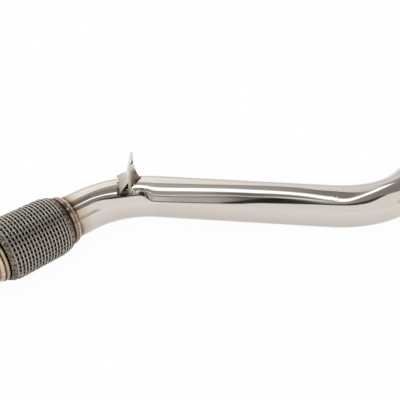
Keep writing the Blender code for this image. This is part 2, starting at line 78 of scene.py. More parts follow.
# Shader tools


class Sock:
    """A shader socket. Arithmetic on it adds Math nodes, so that shader maths reads as an expression."""

    def __init__(self, graph: "Graph", socket: bpy.types.NodeSocket) -> None:
        """Wraps one output socket of a graph."""
        self.graph = graph
        self.socket = socket

    def _maths(self, operation: str, *values: "float | Sock") -> "Sock":
        """Adds a Math node.

        Args:
            operation: The Math node's operation.
            values: Its inputs in order.

        Returns:
            The node's output.
        """
        inputs = dict(enumerate(values))
        return self.graph.add("ShaderNodeMath", {"operation": operation}, inputs)

    def __add__(self, other: "float | Sock") -> "Sock":
        """Sum."""
        return self._maths("ADD", self, other)

    def __radd__(self, other: float) -> "Sock":
        """Sum with a number on the left."""
        return self._maths("ADD", other, self)

    def __sub__(self, other: "float | Sock") -> "Sock":
        """Difference."""
        return self._maths("SUBTRACT", self, other)

    def __rsub__(self, other: float) -> "Sock":
        """Difference from a number on the left."""
        return self._maths("SUBTRACT", other, self)

    def __mul__(self, other: "float | Sock") -> "Sock":
        """Product."""
        return self._maths("MULTIPLY", self, other)

    def __rmul__(self, other: float) -> "Sock":
        """Product with a number on the left."""
        return self._maths("MULTIPLY", other, self)

    def __truediv__(self, other: "float | Sock") -> "Sock":
        """Quotient."""
        return self._maths("DIVIDE", self, other)

    def __neg__(self) -> "Sock":
        """Negative."""
        return self._maths("MULTIPLY", self, -1.0)

    def size(self) -> "Sock":
        """Value without its sign."""
        return self._maths("ABSOLUTE", self)

    def steps(self, low: float, high: float) -> "Sock":
        """Smooth rise from 0 at low to 1 at high.

        Args:
            low: Value at which the rise starts.
            high: Value at which it ends.

        Returns:
            A value from 0 to 1.
        """
        settings = {"interpolation_type": "SMOOTHSTEP"}
        return self.graph.add("ShaderNodeMapRange", settings, {0: self, 1: low, 2: high, 3: 0.0, 4: 1.0})


class Graph:
    """A node tree with one way to add a node."""

    def __init__(self, tree: bpy.types.NodeTree) -> None:
        """Empties the tree."""
        self.tree = tree
        tree.nodes.clear()

    def add(
        self, kind: str, settings: dict | None = None, inputs: dict | None = None, output: int | str = 0
    ) -> Sock:
        """Adds a node.

        Args:
            kind: The node's type.
            settings: Its properties, with "stops" for a colour ramp as (place, colour) pairs, and "curve"
                for a float curve as (x, y) pairs.
            inputs: Socket name or number to a value, or to a Sock that is linked.
            output: Name or number of the output that is wanted.

        Returns:
            The wanted output.
        """
        node = self.tree.nodes.new(kind)
        for name, value in (settings or {}).items():
            if name == "stops":
                self._fill_ramp(node.color_ramp, value)
            elif name == "curve":
                self._fill_curve(node.mapping, value)
            else:
                setattr(node, name, value)
        for name, value in (inputs or {}).items():
            if isinstance(value, Sock):
                self.tree.links.new(value.socket, node.inputs[name])
            else:
                node.inputs[name].default_value = value
        return Sock(self, node.outputs[output])

    def _fill_ramp(self, ramp: bpy.types.ColorRamp, stops: Stops) -> None:
        """Sets a ramp's stops."""
        while len(ramp.elements) < len(stops):
            ramp.elements.new(1.0)
        for element, (place, _) in zip(ramp.elements, sorted(stops)):
            element.position = place
        for element, (_, colour) in zip(ramp.elements, sorted(stops)):
            element.color = (*colour, 1.0)

    def _fill_curve(self, mapping: bpy.types.CurveMapping, points: Sequence[tuple[float, float]]) -> None:
        """Sets a curve's points."""
        curve = mapping.curves[0]
        while len(curve.points) < len(points):
            curve.points.new(0.5, 0.5)
        for point, place in zip(curve.points, points):
            point.location = place
        mapping.update()

    def ramp(self, value: Sock, stops: Stops) -> Sock:
        """Colour looked up on a ramp."""
        return self.add("ShaderNodeValToRGB", {"stops": stops}, {0: value})

    def noise(self, by: tuple[float, float, float], detail: float) -> Sock:
        """Noise from about 0.25 to 0.75, at the unbent place with each axis multiplied."""
        place = self.add("ShaderNodeVectorMath", {"operation": "MULTIPLY"}, {0: self.place(), 1: by})
        inputs = {"Vector": place, "Scale": 1.0, "Detail": detail, "Roughness": 0.5}
        return self.add("ShaderNodeTexNoise", {"noise_dimensions": "3D"}, inputs)

    def mix(self, share: "float | Sock", first: "Colour | Sock", second: "Colour | Sock") -> Sock:
        """Colour between two others."""
        colours = [value if isinstance(value, Sock) else (*value, 1.0) for value in (first, second)]
        settings = {"data_type": "RGBA", "clamp_factor": True}
        return self.add("ShaderNodeMix", settings, {0: share, 6: colours[0], 7: colours[1]}, 2)

    def part(self, vector: Sock, axis: int) -> Sock:
        """One axis of a vector."""
        return self.add("ShaderNodeSeparateXYZ", None, {0: vector}, axis)

    def place(self) -> Sock:
        """Place on the unbent surface: along the piece, and round it as two lengths."""
        return self.add("ShaderNodeAttribute", {"attribute_name": "lay"}, None, "Vector")

    def lay(self, axis: int) -> Sock:
        """One axis of the place on the unbent surface."""
        return self.part(self.place(), axis)

    def depth(self) -> Sock:
        """Depth below the weave's crests, from 0 to 1."""
        return self.add("ShaderNodeAttribute", {"attribute_name": "depth"}, None, "Fac")

    def output(self, kind: str, surface: Sock) -> None:
        """Links the finished shader to a new output node."""
        node = self.tree.nodes.new(kind)
        self.tree.links.new(surface.socket, node.inputs["Surface"])


# Finishes


@dataclass(frozen=True, kw_only=True)
class Finish:
    """A metal finish, whose nodes read the unbent place.

    The relief is the height in metres of the bump's full range, and the clouding how far noise moves a tint.
    """

    roughness: float = 0.3
    metallic: float = 1.0
    relief: float = 0.00003
    clouding: float = 0.0

    def colour(self, graph: Graph) -> Sock:
        """The colour, which each finish makes its own way."""
        raise NotImplementedError

    def gloss(self, graph: Graph) -> "float | Sock":
        """The roughness, even unless a finish says otherwise."""
        return self.roughness

    def bump(self, graph: Graph) -> "Sock | None":
        """The relief's height from 0 to 1, if there is one."""
        return None

    def clouds(self, graph: Graph, by: tuple[float, float, float], detail: float) -> Sock:
        """Noise about 0, as large as the clouding."""
        return (graph.noise(by, detail) - 0.5) * self.clouding

    def material(self, name: str) -> bpy.types.Material:
        """Makes the material."""
        material = bpy.data.materials.new(name)
        material.use_nodes = True
        graph = Graph(material.node_tree)
        inputs = {"Metallic": self.metallic, "Base Color": self.colour(graph), "Roughness": self.gloss(graph)}
        height = self.bump(graph)
        if height is not None:
            relief = {"Height": height, "Distance": self.relief, "Strength": 1.0}
            inputs["Normal"] = graph.add("ShaderNodeBump", None, relief)
        graph.output("ShaderNodeOutputMaterial", graph.add("ShaderNodeBsdfPrincipled", None, inputs))
        return material


@dataclass(frozen=True, kw_only=True)
class PolishedSteel(Finish):
    """Mirror-polished stainless tube, with straw and copper heat tint beside a weld."""

    steel: Colour = (0.72, 0.665, 0.61)
    shadow: float = 0.93
    roughness: float = 0.05
    buffing: float = 0.10
    relief: float = 0.00035
    clouding: float = 0.5
    tinted: bool = False
    tint: Stops = (
        (0.0, (0.16, 0.09, 0.06)),
        (0.07, (0.30, 0.19, 0.13)),
        (0.16, (0.50, 0.38, 0.28)),
        (0.36, (0.60, 0.52, 0.41)),
        (0.62, (0.68, 0.60, 0.54)),
        (0.82, (0.715, 0.64, 0.605)),
        (1.0, (0.72, 0.665, 0.61)),
    )
    tint_start: float = 0.017
    tint_reach: float = 0.030
    seam_mark: float | None = None
    seam_half: float = 0.0016
    seam_crown: float = 0.10
    # Painted shade: a dark spot on the tube under the bracket, with its middle, sizes, soft edge and tones.
    painted_shade: tuple[float, float, float] | None = None
    painted_shade_sizes: tuple[float, float, float] = (0.0145, 0.0075, 0.0075)
    painted_shade_edge: float = 1.6
    painted_shade_tones: Stops = (
        (0.0, (0.035, 0.030, 0.022)),
        (0.55, (0.06, 0.05, 0.035)),
        (0.80, (0.42, 0.34, 0.25)),
        (1.0, (0.70, 0.64, 0.57)),
    )

    def paint_shade_under_bracket(self, graph: Graph, steel: Sock, cloud: Sock) -> Sock:
        """Paints shade on the steel between the bracket's feet, where the bracket's inside shades the tube.

        Args:
            graph: The material's nodes.
            steel: The colour elsewhere.
            cloud: Noise that breaks the painted shade's edge up.

        Returns:
            The colour.
        """
        reach = cloud
        for axis in range(3):
            side = (graph.lay(axis) - self.painted_shade[axis]) / self.painted_shade_sizes[axis]
            reach = reach + side * side
        return graph.mix(reach.steps(1.0, self.painted_shade_edge), graph.ramp(reach, self.painted_shade_tones), steel)

    def colour(self, graph: Graph) -> Sock:
        """Steel, and where tinted a colour by the length from the weld, with painted shade under the bracket.
        """
        if not self.tinted:
            dark = tuple(self.shadow * channel for channel in self.steel)
            return graph.mix(graph.noise((4.0, 160.0, 160.0), 2.0), dark, self.steel)
        cloud = self.clouds(graph, (60.0, 40.0, 40.0), 4.0)
        steel = graph.ramp((graph.lay(0) - self.tint_start) / self.tint_reach + cloud, self.tint)
        return steel if self.painted_shade is None else self.paint_shade_under_bracket(graph, steel, cloud)

    def gloss(self, graph: Graph) -> Sock:
        """Roughness with faint buffing streaks."""
        return self.roughness + (graph.noise((12.0, 500.0, 500.0), 3.0) - 0.4).size() * self.buffing

    def bump(self, graph: Graph) -> Sock:
        """Slow waves left by bending and buffing, and the seam's crown."""
        slow = graph.noise((9.0, 26.0, 26.0), 1.0)
        if self.seam_mark is None:
            return slow
        return slow + (graph.lay(0) - self.seam_mark).size().steps(self.seam_half, 0.0) * self.seam_crown


@dataclass(frozen=True, kw_only=True)
class TurnedSteel(Finish):
    """Turned ring in bands of heat tint, and on the end rings painted shade, from low to high along its axis.
    """

    bands: Stops
    low: float
    high: float
    clouding: float = 0.25
    marking: float = 0.25
    relief: float = 0.00004

    def colour(self, graph: Graph) -> Sock:
        """Tint bands with clouds."""
        place = (graph.lay(0) - self.low) / (self.high - self.low)
        return graph.ramp(place + self.clouds(graph, (90.0, 45.0, 45.0), 4.0), self.bands)

    def gloss(self, graph: Graph) -> Sock:
        """Roughness with turning marks."""
        return self.roughness + (graph.noise((1500.0, 12.0, 12.0), 2.0) - 0.5) * self.marking

    def bump(self, graph: Graph) -> Sock:
        """Fine turning marks."""
        return graph.noise((1800.0, 8.0, 8.0), 2.0)


@dataclass(frozen=True, kw_only=True)
class WovenWire(Finish):
    """Stainless wire, bright on the crests of the weave and darkened by painted shade between them."""

    # Painted shade: from the wire's colour on the crests to near black deep in the weave.
    shades: Stops = (
        (0.0, (0.69, 0.63, 0.56)),
        (0.20, (0.60, 0.545, 0.475)),
        (0.38, (0.42, 0.375, 0.32)),
        (0.60, (0.19, 0.165, 0.135)),
        (0.80, (0.03, 0.025, 0.02)),
        (1.0, (0.012, 0.010, 0.008)),
    )
    clouding: float = 0.18
    roughness: float = 0.24

    def colour(self, graph: Graph) -> Sock:
        """Wire with painted shade that darkens with depth, in small clouds."""
        return graph.ramp(graph.depth() + self.clouds(graph, (420.0, 420.0, 420.0), 2.0), self.shades)


@dataclass(frozen=True, kw_only=True)
class DrawnWire(Finish):
    """The weave's ends, drawn in side by side without gaps."""

    light: Colour
    dark: Colour
    roughness: float = 0.34

    def colour(self, graph: Graph) -> Sock:
        """Lengthwise streaks, broken up by crossing wires."""
        return graph.mix(graph.noise((150.0, 380.0, 380.0), 3.0).steps(0.38, 0.60), self.dark, self.light)


@dataclass(frozen=True, kw_only=True)
class TintedWeld(Finish):
    """Weld bead with heat colours in clouds, darker past low and high along its axis if they are given."""

    hues: Stops = (
        (0.32, (0.17, 0.09, 0.07)),
        (0.42, (0.40, 0.26, 0.20)),
        (0.50, (0.66, 0.52, 0.43)),
        (0.60, (0.62, 0.51, 0.42)),
        (0.70, (0.30, 0.20, 0.16)),
    )
    # Colour of the bead's darker edges.
    darkening: Colour = (0.09, 0.06, 0.045)
    low: float | None = None
    high: float = 0.0
    edge: float = 0.0009
    clouding: float = 0.0016
    roughness: float = 0.16
    relief: float = 0.00005

    def colour(self, graph: Graph) -> Sock:
        """Hues in clouds, and the darker edges."""
        cloud = graph.noise((110.0, 90.0, 90.0), 4.0)
        hue = graph.ramp(cloud, self.hues)
        if self.low is None:
            return hue
        place = graph.lay(0) + (cloud - 0.5) * self.clouding
        inside = (place - self.low).steps(0.0, self.edge) * (self.high - place).steps(0.0, self.edge)
        return graph.mix(inside, self.darkening, hue)

    def bump(self, graph: Graph) -> Sock:
        """Fine grain of the cast bead."""
        return graph.noise((900.0, 500.0, 500.0), 3.0)


@dataclass(frozen=True, kw_only=True)
class PlainSteel(Finish):
    """Untinted steel of one colour, with soft blotches."""

    steel: Colour
    shadow: float = 0.82

    def colour(self, graph: Graph) -> Sock:
        """Colour with soft blotches."""
        dark = tuple(self.shadow * channel for channel in self.steel)
        return graph.mix(graph.noise((40.0, 40.0, 40.0), 4.0).steps(0.3, 0.7), dark, self.steel)

    def bump(self, graph: Graph) -> Sock:
        """Fine grain."""
        return graph.noise((700.0, 700.0, 700.0), 2.0)


@dataclass(frozen=True, kw_only=True)
class BracketSteel(Finish):
    """Satin sheet that turns straw and brown towards its welded feet, as heat tint and painted shade."""

    # Heat tint towards the welded feet, and painted shade: the nearer the sheet lies to the tube, the darker
    # it is.
    shades: Stops = (
        (0.0, (0.22, 0.15, 0.10)),
        (0.12, (0.40, 0.34, 0.25)),
        (0.35, (0.54, 0.495, 0.41)),
        (0.60, (0.62, 0.58, 0.50)),
        (0.80, (0.80, 0.775, 0.73)),
        (1.0, (0.86, 0.85, 0.82)),
    )
    near: float = 0.038
    far: float = 0.064
    # Painted shade on the lip: where it lies along the sheet, how high, and how much darker it is.
    lip_along: tuple[float, float] = (0.021, 0.031)
    lip_height: tuple[float, float] = (0.0575, 0.0530)
    painted_lip_shade: float = 0.42
    clouding: float = 0.22
    roughness: float = 0.36
    metallic: float = 0.35

    def colour(self, graph: Graph) -> Sock:
        """Tint and painted shade by the length from the tube in soft clouds, and painted shade at the lip."""
        place = (graph.lay(0) - self.near) / (self.far - self.near)
        place = place + self.clouds(graph, (120.0, 120.0, 120.0), 3.0)
        # painted shade on the lip
        painted_lip_mask = graph.lay(1).steps(*self.lip_along) * graph.lay(0).steps(*self.lip_height)
        return graph.ramp(place - painted_lip_mask * self.painted_lip_shade, self.shades)

    def bump(self, graph: Graph) -> Sock:
        """Fine rolling grain."""
        return graph.noise((500.0, 900.0, 500.0), 2.0)


# Mesh tools


def add_object(name: str, data: bpy.types.ID) -> bpy.types.Object:
    """Makes an object and puts it in the scene."""
    obj = bpy.data.objects.new(name, data)
    bpy.context.scene.collection.objects.link(obj)
    return obj


def note(mesh: bpy.types.Mesh, name: str, values: np.ndarray) -> None:
    """Stores a number or a vector for each point of a mesh, for its material."""
    kind, slot = ("FLOAT_VECTOR", "vector") if values.ndim > 1 else ("FLOAT", "value")
    mesh.attributes.new(name, kind, "POINT").data.foreach_set(slot, values.astype(np.float32).ravel())


@dataclass
class Skin:
    """Points, faces and unbent places of a mesh that is being made."""

    points: list[np.ndarray] = field(default_factory=list)
    lays: list[np.ndarray] = field(default_factory=list)
    faces: list[np.ndarray] = field(default_factory=list)
    count: int = 0

    def add_grid(self, points: np.ndarray, lays: np.ndarray, wrap_rows: bool, wrap_columns: bool) -> None:
        """Adds a grid of quads.

        Args:
            points: Rows by columns by 3.
            lays: Unbent places, of the same shape.
            wrap_rows: Whether the last row joins the first.
            wrap_columns: Whether the last column joins the first.
        """
        rows, columns = points.shape[:2]
        index = self.count + np.arange(rows * columns).reshape(rows, columns)
        if wrap_rows:
            index = np.vstack([index, index[:1]])
        if wrap_columns:
            index = np.hstack([index, index[:, :1]])
        quads = np.stack([index[:-1, :-1], index[:-1, 1:], index[1:, 1:], index[1:, :-1]], axis=-1)
        self.points.append(points.reshape(-1, 3))
        self.lays.append(lays.reshape(-1, 3))
        self.faces.append(quads.reshape(-1, 4))
        self.count += rows * columns

    def mesh_object(self, name: str, place: Matrix, sharp: float = 38.0) -> bpy.types.Object:
        """Makes the object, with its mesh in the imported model's place.

        Args:
            name: The piece's name.
            place: Matrix from the skin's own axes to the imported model's.
            sharp: Edges that turn by more than this many degrees are sharp.

        Returns:
            The object.
        """
        mesh = bpy.data.meshes.new(name)
        points = np.concatenate(self.points)
        mesh.from_pydata(points.tolist(), [], np.concatenate(self.faces).tolist())
        note(mesh, "lay", np.concatenate(self.lays))
        mesh.transform(place)
        shape = bmesh.new()
        shape.from_mesh(mesh)
        bmesh.ops.recalc_face_normals(shape, faces=shape.faces)
        shape.to_mesh(mesh)
        shape.free()
        mesh.shade_smooth()
        mesh.set_sharp_from_angle(angle=math.radians(sharp))
        return add_object(name, mesh)


def ring_angles(sides: int) -> np.ndarray:
    """Angles of a ring's points."""
    return np.arange(sides) * math.tau / sides


def round_outline(corners: Outline, radius: float, steps: int = 3) -> Outline:
    """Rounds the corners of a closed outline.

    Args:
        corners: The outline's corners.
        radius: Length from each corner at which its arc starts, less on short sides.
        steps: Stretches of each arc.

    Returns:
        The rounded outline.
    """
    places = [np.array(corner) for corner in corners]
    rounded: Outline = []
    for before, here, after in zip(places[-1:] + places[:-1], places, places[1:] + places[:1]):
        back, ahead = before - here, after - here
        cut = min(radius, 0.4 * float(np.linalg.norm(back)), 0.4 * float(np.linalg.norm(ahead)))
        start = here + back / np.linalg.norm(back) * cut
        end = here + ahead / np.linalg.norm(ahead) * cut
        for i in range(steps + 1):
            t = i / steps
            point = (1 - t) ** 2 * start + 2 * t * (1 - t) * here + t**2 * end
            rounded.append((float(point[0]), float(point[1])))
    return rounded


def ring_skin(
    name: str, rows: Sequence[tuple[np.ndarray, np.ndarray]], place: Matrix, sharp: float = 38.0
) -> bpy.types.Object:
    """Joins rings of points about their own Z into a closed skin.

    Args:
        name: The piece's name.
        rows: Each ring's radii and heights, point by point round the ring.
        place: Matrix from the ring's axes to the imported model's.
        sharp: Edges that turn by more than this many degrees are sharp.

    Returns:
        The object.
    """
    angles = ring_angles(len(rows[0][0]))
    rings = [(radii * np.cos(angles), radii * np.sin(angles), heights) for radii, heights in rows]
    points = np.array([np.stack([x, y, z], axis=-1) for x, y, z in rings])
    lays = np.array([np.stack([z, x, y], axis=-1) for x, y, z in rings])
    skin = Skin()
    skin.add_grid(points, lays, True, True)
    return skin.mesh_object(name, place, sharp)


def lathe(name: str, outline: Outline, place: Matrix, sides: int = 128) -> bpy.types.Object:
    """Turns a closed (radius, height) outline about its own Z.

    Args:
        name: The piece's name.
        outline: The closed outline.
        place: Matrix from the ring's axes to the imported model's.
        sides: Points round the ring.

    Returns:
        The object.
    """
    level = np.zeros(sides)
    return ring_skin(name, [(level + radius, level + height) for radius, height in outline], place)


def dress(obj: bpy.types.Object, material: bpy.types.Material, slot: str, *nodes: str) -> None:
    """Gives a piece its material, hides the CAD nodes that it stands for, and logs its faces."""
    obj.data.materials.append(material)
    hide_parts(*nodes)
    LOG.info("%s: %d faces", obj.name, len(obj.data.polygons))


def wear(obj: bpy.types.Object, material: bpy.types.Material, body: Body, slot: str, *nodes: str) -> None:
    """Dresses a piece and puts it on its body."""
    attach(obj, body.value)
    dress(obj, material, slot, *nodes)


def bend_with_coupling(obj: bpy.types.Object, sign: int) -> None:
    """Bakes the place of one half of a sleeve, bellows or liner into its mesh.

    Args:
        obj: The half, in its place.
        sign: 1 for the turbo's half and -1 for the other.
    """
    if sign < 0:
        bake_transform(obj)
    else:
        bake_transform(obj)


# The pipe


@dataclass(frozen=True)
class PipeLayout:
    """Driving sizes of the pipe, and its centre line in its own flat layout."""

    tube_radius: float = 0.0381
    wall: float = 0.0016
    gap: float = 0.0003
    front_tangent: float = 0.035
    front_radius: float = 0.151
    front_angle: float = math.radians(53.0)
    run: float = 0.316
    rear_radius: float = 0.181
    rear_angle: float = math.radians(53.0)
    tail: float = 0.070
    seam_offset: float = 0.004
    seam_width: float = 0.0024
    flex_centre: float = 0.110
    bracket_station: float = math.radians(29.5)

    def front_point(self, angle: float) -> Vector:
        """Centre line on the front bend, by the angle from the straight run."""
        return Vector((-math.sin(angle), math.cos(angle) - 1.0, 0.0)) * self.front_radius

    def rear_point(self, angle: float) -> Vector:
        """Centre line on the rear bend, by the angle from the straight run."""
        bend = Vector((math.sin(angle), 1.0 - math.cos(angle), 0.0)) * self.rear_radius
        return Vector((self.run, 0.0, 0.0)) + bend

    @property
    def front_direction(self) -> Vector:
        """Direction from the front bend towards the turbo."""
        return Vector((-math.cos(self.front_angle), -math.sin(self.front_angle), 0.0))

    @property
    def rear_direction(self) -> Vector:
        """Direction from the rear bend to the tail."""
        return Vector((math.cos(self.rear_angle), math.sin(self.rear_angle), 0.0))

    def flat_flex_matrix(self) -> Matrix:
        """Axes at the flex coupling's middle in the flat layout: +Z towards the turbo and +Y up."""
        along = self.front_direction
        up = Vector((0.0, 0.0, 1.0))
        matrix = Matrix((up.cross(along), up, along)).transposed().to_4x4()
        matrix.translation = self.front_point(self.front_angle) + along * self.flex_centre
        return matrix


class RestingPlace:
    """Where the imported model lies: the flex coupling's axes, and the matrix from the flat layout."""

    def __init__(self, layout: PipeLayout) -> None:
        """Reads the coupling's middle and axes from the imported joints."""
        joints = {joint["name"]: joint for joint in frame["joints"]}
        up = Vector(joints["flex_sideways"]["axis"]).normalized()
        across = Vector(joints["flex_up_down"]["axis"]).normalized()
        self.flex = Matrix((across, up, across.cross(up))).transposed().to_4x4()
        self.flex.translation = Vector(joints["flex_sideways"]["pos_m"])
        self.flat = self.flex @ layout.flat_flex_matrix().inverted()
        self.flex_rear = self.flex @ Matrix.Rotation(math.pi, 4, "X")


@dataclass
class MainTube:
    """The bent and straight stretches of the main tube, and the butt welds between them."""

    layout: PipeLayout
    rest: RestingPlace
    sides: int = 144
    bend_step: float = math.radians(1.5)
    run_step: float = 0.008
    buried: float = 0.017
    front_mark: float = 0.1727
    rear_mark: float = 0.0075
    # Middle of the painted shade under the bracket, along and round the front bend.
    painted_shade: tuple[float, float, float] = (0.0125, -0.0262, 0.0277)
    seam_cover: float = 0.00029

    def arc(self, point: Callable[[float], Vector], first: float, last: float) -> list[Vector]:
        """Points on a bend."""
        count = max(2, math.ceil(abs(last - first) / self.bend_step))
        return [point(first + (last - first) * i / count) for i in range(count + 1)]

    def straight(self, first: Vector, last: Vector) -> list[Vector]:
        """Points on a straight stretch."""
        count = max(2, math.ceil((last - first).length / self.run_step))
        return [first.lerp(last, i / count) for i in range(count + 1)]

    def stretch(self, name: str, path: list[Vector]) -> bpy.types.Object:
        """Sweeps the tube's wall along a flat path.

        Args:
            name: The piece's name.
            path: Points of the centre line, the first at the end whose distance is zero.

        Returns:
            The object.
        """
        layout = self.layout
        line = np.array(path)
        steps = np.linalg.norm(np.diff(line, axis=0), axis=1)
        keep = np.concatenate([[True], steps > 1e-7])
        line = line[keep]
        steps = np.linalg.norm(np.diff(line, axis=0), axis=1)
        length = np.concatenate([[0.0], np.cumsum(steps)])
        ahead = np.vstack([np.diff(line, axis=0) / steps[:, None], np.zeros((1, 3))])
        behind = np.vstack([np.zeros((1, 3)), ahead[:-1]])
        tangent = ahead + behind
        tangent /= np.linalg.norm(tangent, axis=1)[:, None]
        side = np.cross(UP, tangent)
        angles = ring_angles(self.sides)
        cosines, sines = np.cos(angles), np.sin(angles)
        walls = []
        for radius in (layout.tube_radius, layout.tube_radius - layout.wall):
            out = cosines[:, None] * side[:, None] + sines[:, None] * UP
            places = np.broadcast_arrays(length[:, None], radius * cosines, radius * sines)
            walls.append((line[:, None] + radius * out, np.stack(places, axis=-1)))
        (outer, outer_lays), (inner, inner_lays) = walls
        skin = Skin()
        skin.add_grid(np.vstack([outer, inner[::-1]]), np.vstack([outer_lays, inner_lays[::-1]]), True, True)
        return skin.mesh_object(name, self.rest.flat)

    def front_path(self) -> list[Vector]:
        """Centre line of the front bend, from inside the coupling's ring to the butt seam."""
        layout = self.layout
        start = layout.front_point(layout.front_angle)
        weld = start + layout.front_direction * layout.front_tangent
        buried = start + layout.front_direction * (layout.front_tangent + self.buried)
        bend = self.arc(layout.front_point, layout.front_angle, 0.0)[1:]
        return [buried, *self.straight(weld, start), *bend, self.on_run(layout.seam_offset - self.half_gap)]

    def rear_path(self) -> list[Vector]:
        """Centre line of the rear bend, from the butt seam to the tail's end."""
        layout = self.layout
        bend = self.arc(layout.rear_point, 0.0, layout.rear_angle)
        tail = self.straight(bend[-1], bend[-1] + layout.rear_direction * layout.tail)[1:]
        return [self.on_run(layout.run - layout.seam_offset + self.half_gap), *bend, *tail]

    @property
    def half_gap(self) -> float:
        """Length from a seam's middle to the end of a tube beside it."""
        return self.layout.seam_width / 2 + self.layout.gap

    def on_run(self, x: float) -> Vector:
        """A point on the straight run."""
        return Vector((x, 0.0, 0.0))

    def build(self) -> None:
        """Builds and dresses the three stretches and the two seams."""
        layout = self.layout
        seams = (layout.seam_offset, layout.run - layout.seam_offset)
        to_bracket = layout.front_radius * (layout.front_angle - layout.bracket_station)
        # Where the painted shade under the bracket lies on the front bend.
        painted_shade_place = (self.buried + layout.front_tangent + to_bracket + self.painted_shade[0], *self.painted_shade[1:])
        tinted = PolishedSteel(tinted=True, seam_mark=self.front_mark, painted_shade=painted_shade_place)
        seamed = PolishedSteel(seam_mark=self.rear_mark)
        run = self.straight(self.on_run(seams[0] + self.half_gap), self.on_run(seams[1] - self.half_gap))
        for name, path, steel, finish, node in (
            ("front_bend_tube", self.front_path(), tinted, "polished_tube_by_the_coupling", "front_bend"),
            ("straight_tube", run, PolishedSteel(), "polished_tube", "long_tube"),
            ("rear_bend_tube", self.rear_path(), seamed, "polished_tube_with_seam", "rear_bend"),
        ):
            wear(self.stretch(name, path), steel.material(finish), Body.PIPE, "polished_tube", node)
        bead = PolishedSteel().material("polished_seam")
        for side, x in zip(("front", "rear"), seams):
            turn = Matrix.Translation((x, 0.0, 0.0)) @ Matrix.Rotation(math.pi / 2, 4, "Y")
            seam = lathe(side + "_butt_seam", self.seam_outline(), self.rest.flat @ turn)
            wear(seam, bead, Body.PIPE, "polished_weld", side + "_seam_weld")

    def seam_outline(self) -> Outline:
        """Outline of a butt weld that has been polished flush."""
        outer, half = self.layout.tube_radius, self.layout.seam_width / 2 + self.seam_cover
        inner = outer - self.layout.wall
        return [(outer, half), (outer, -half), (inner, -half), (inner, half)]


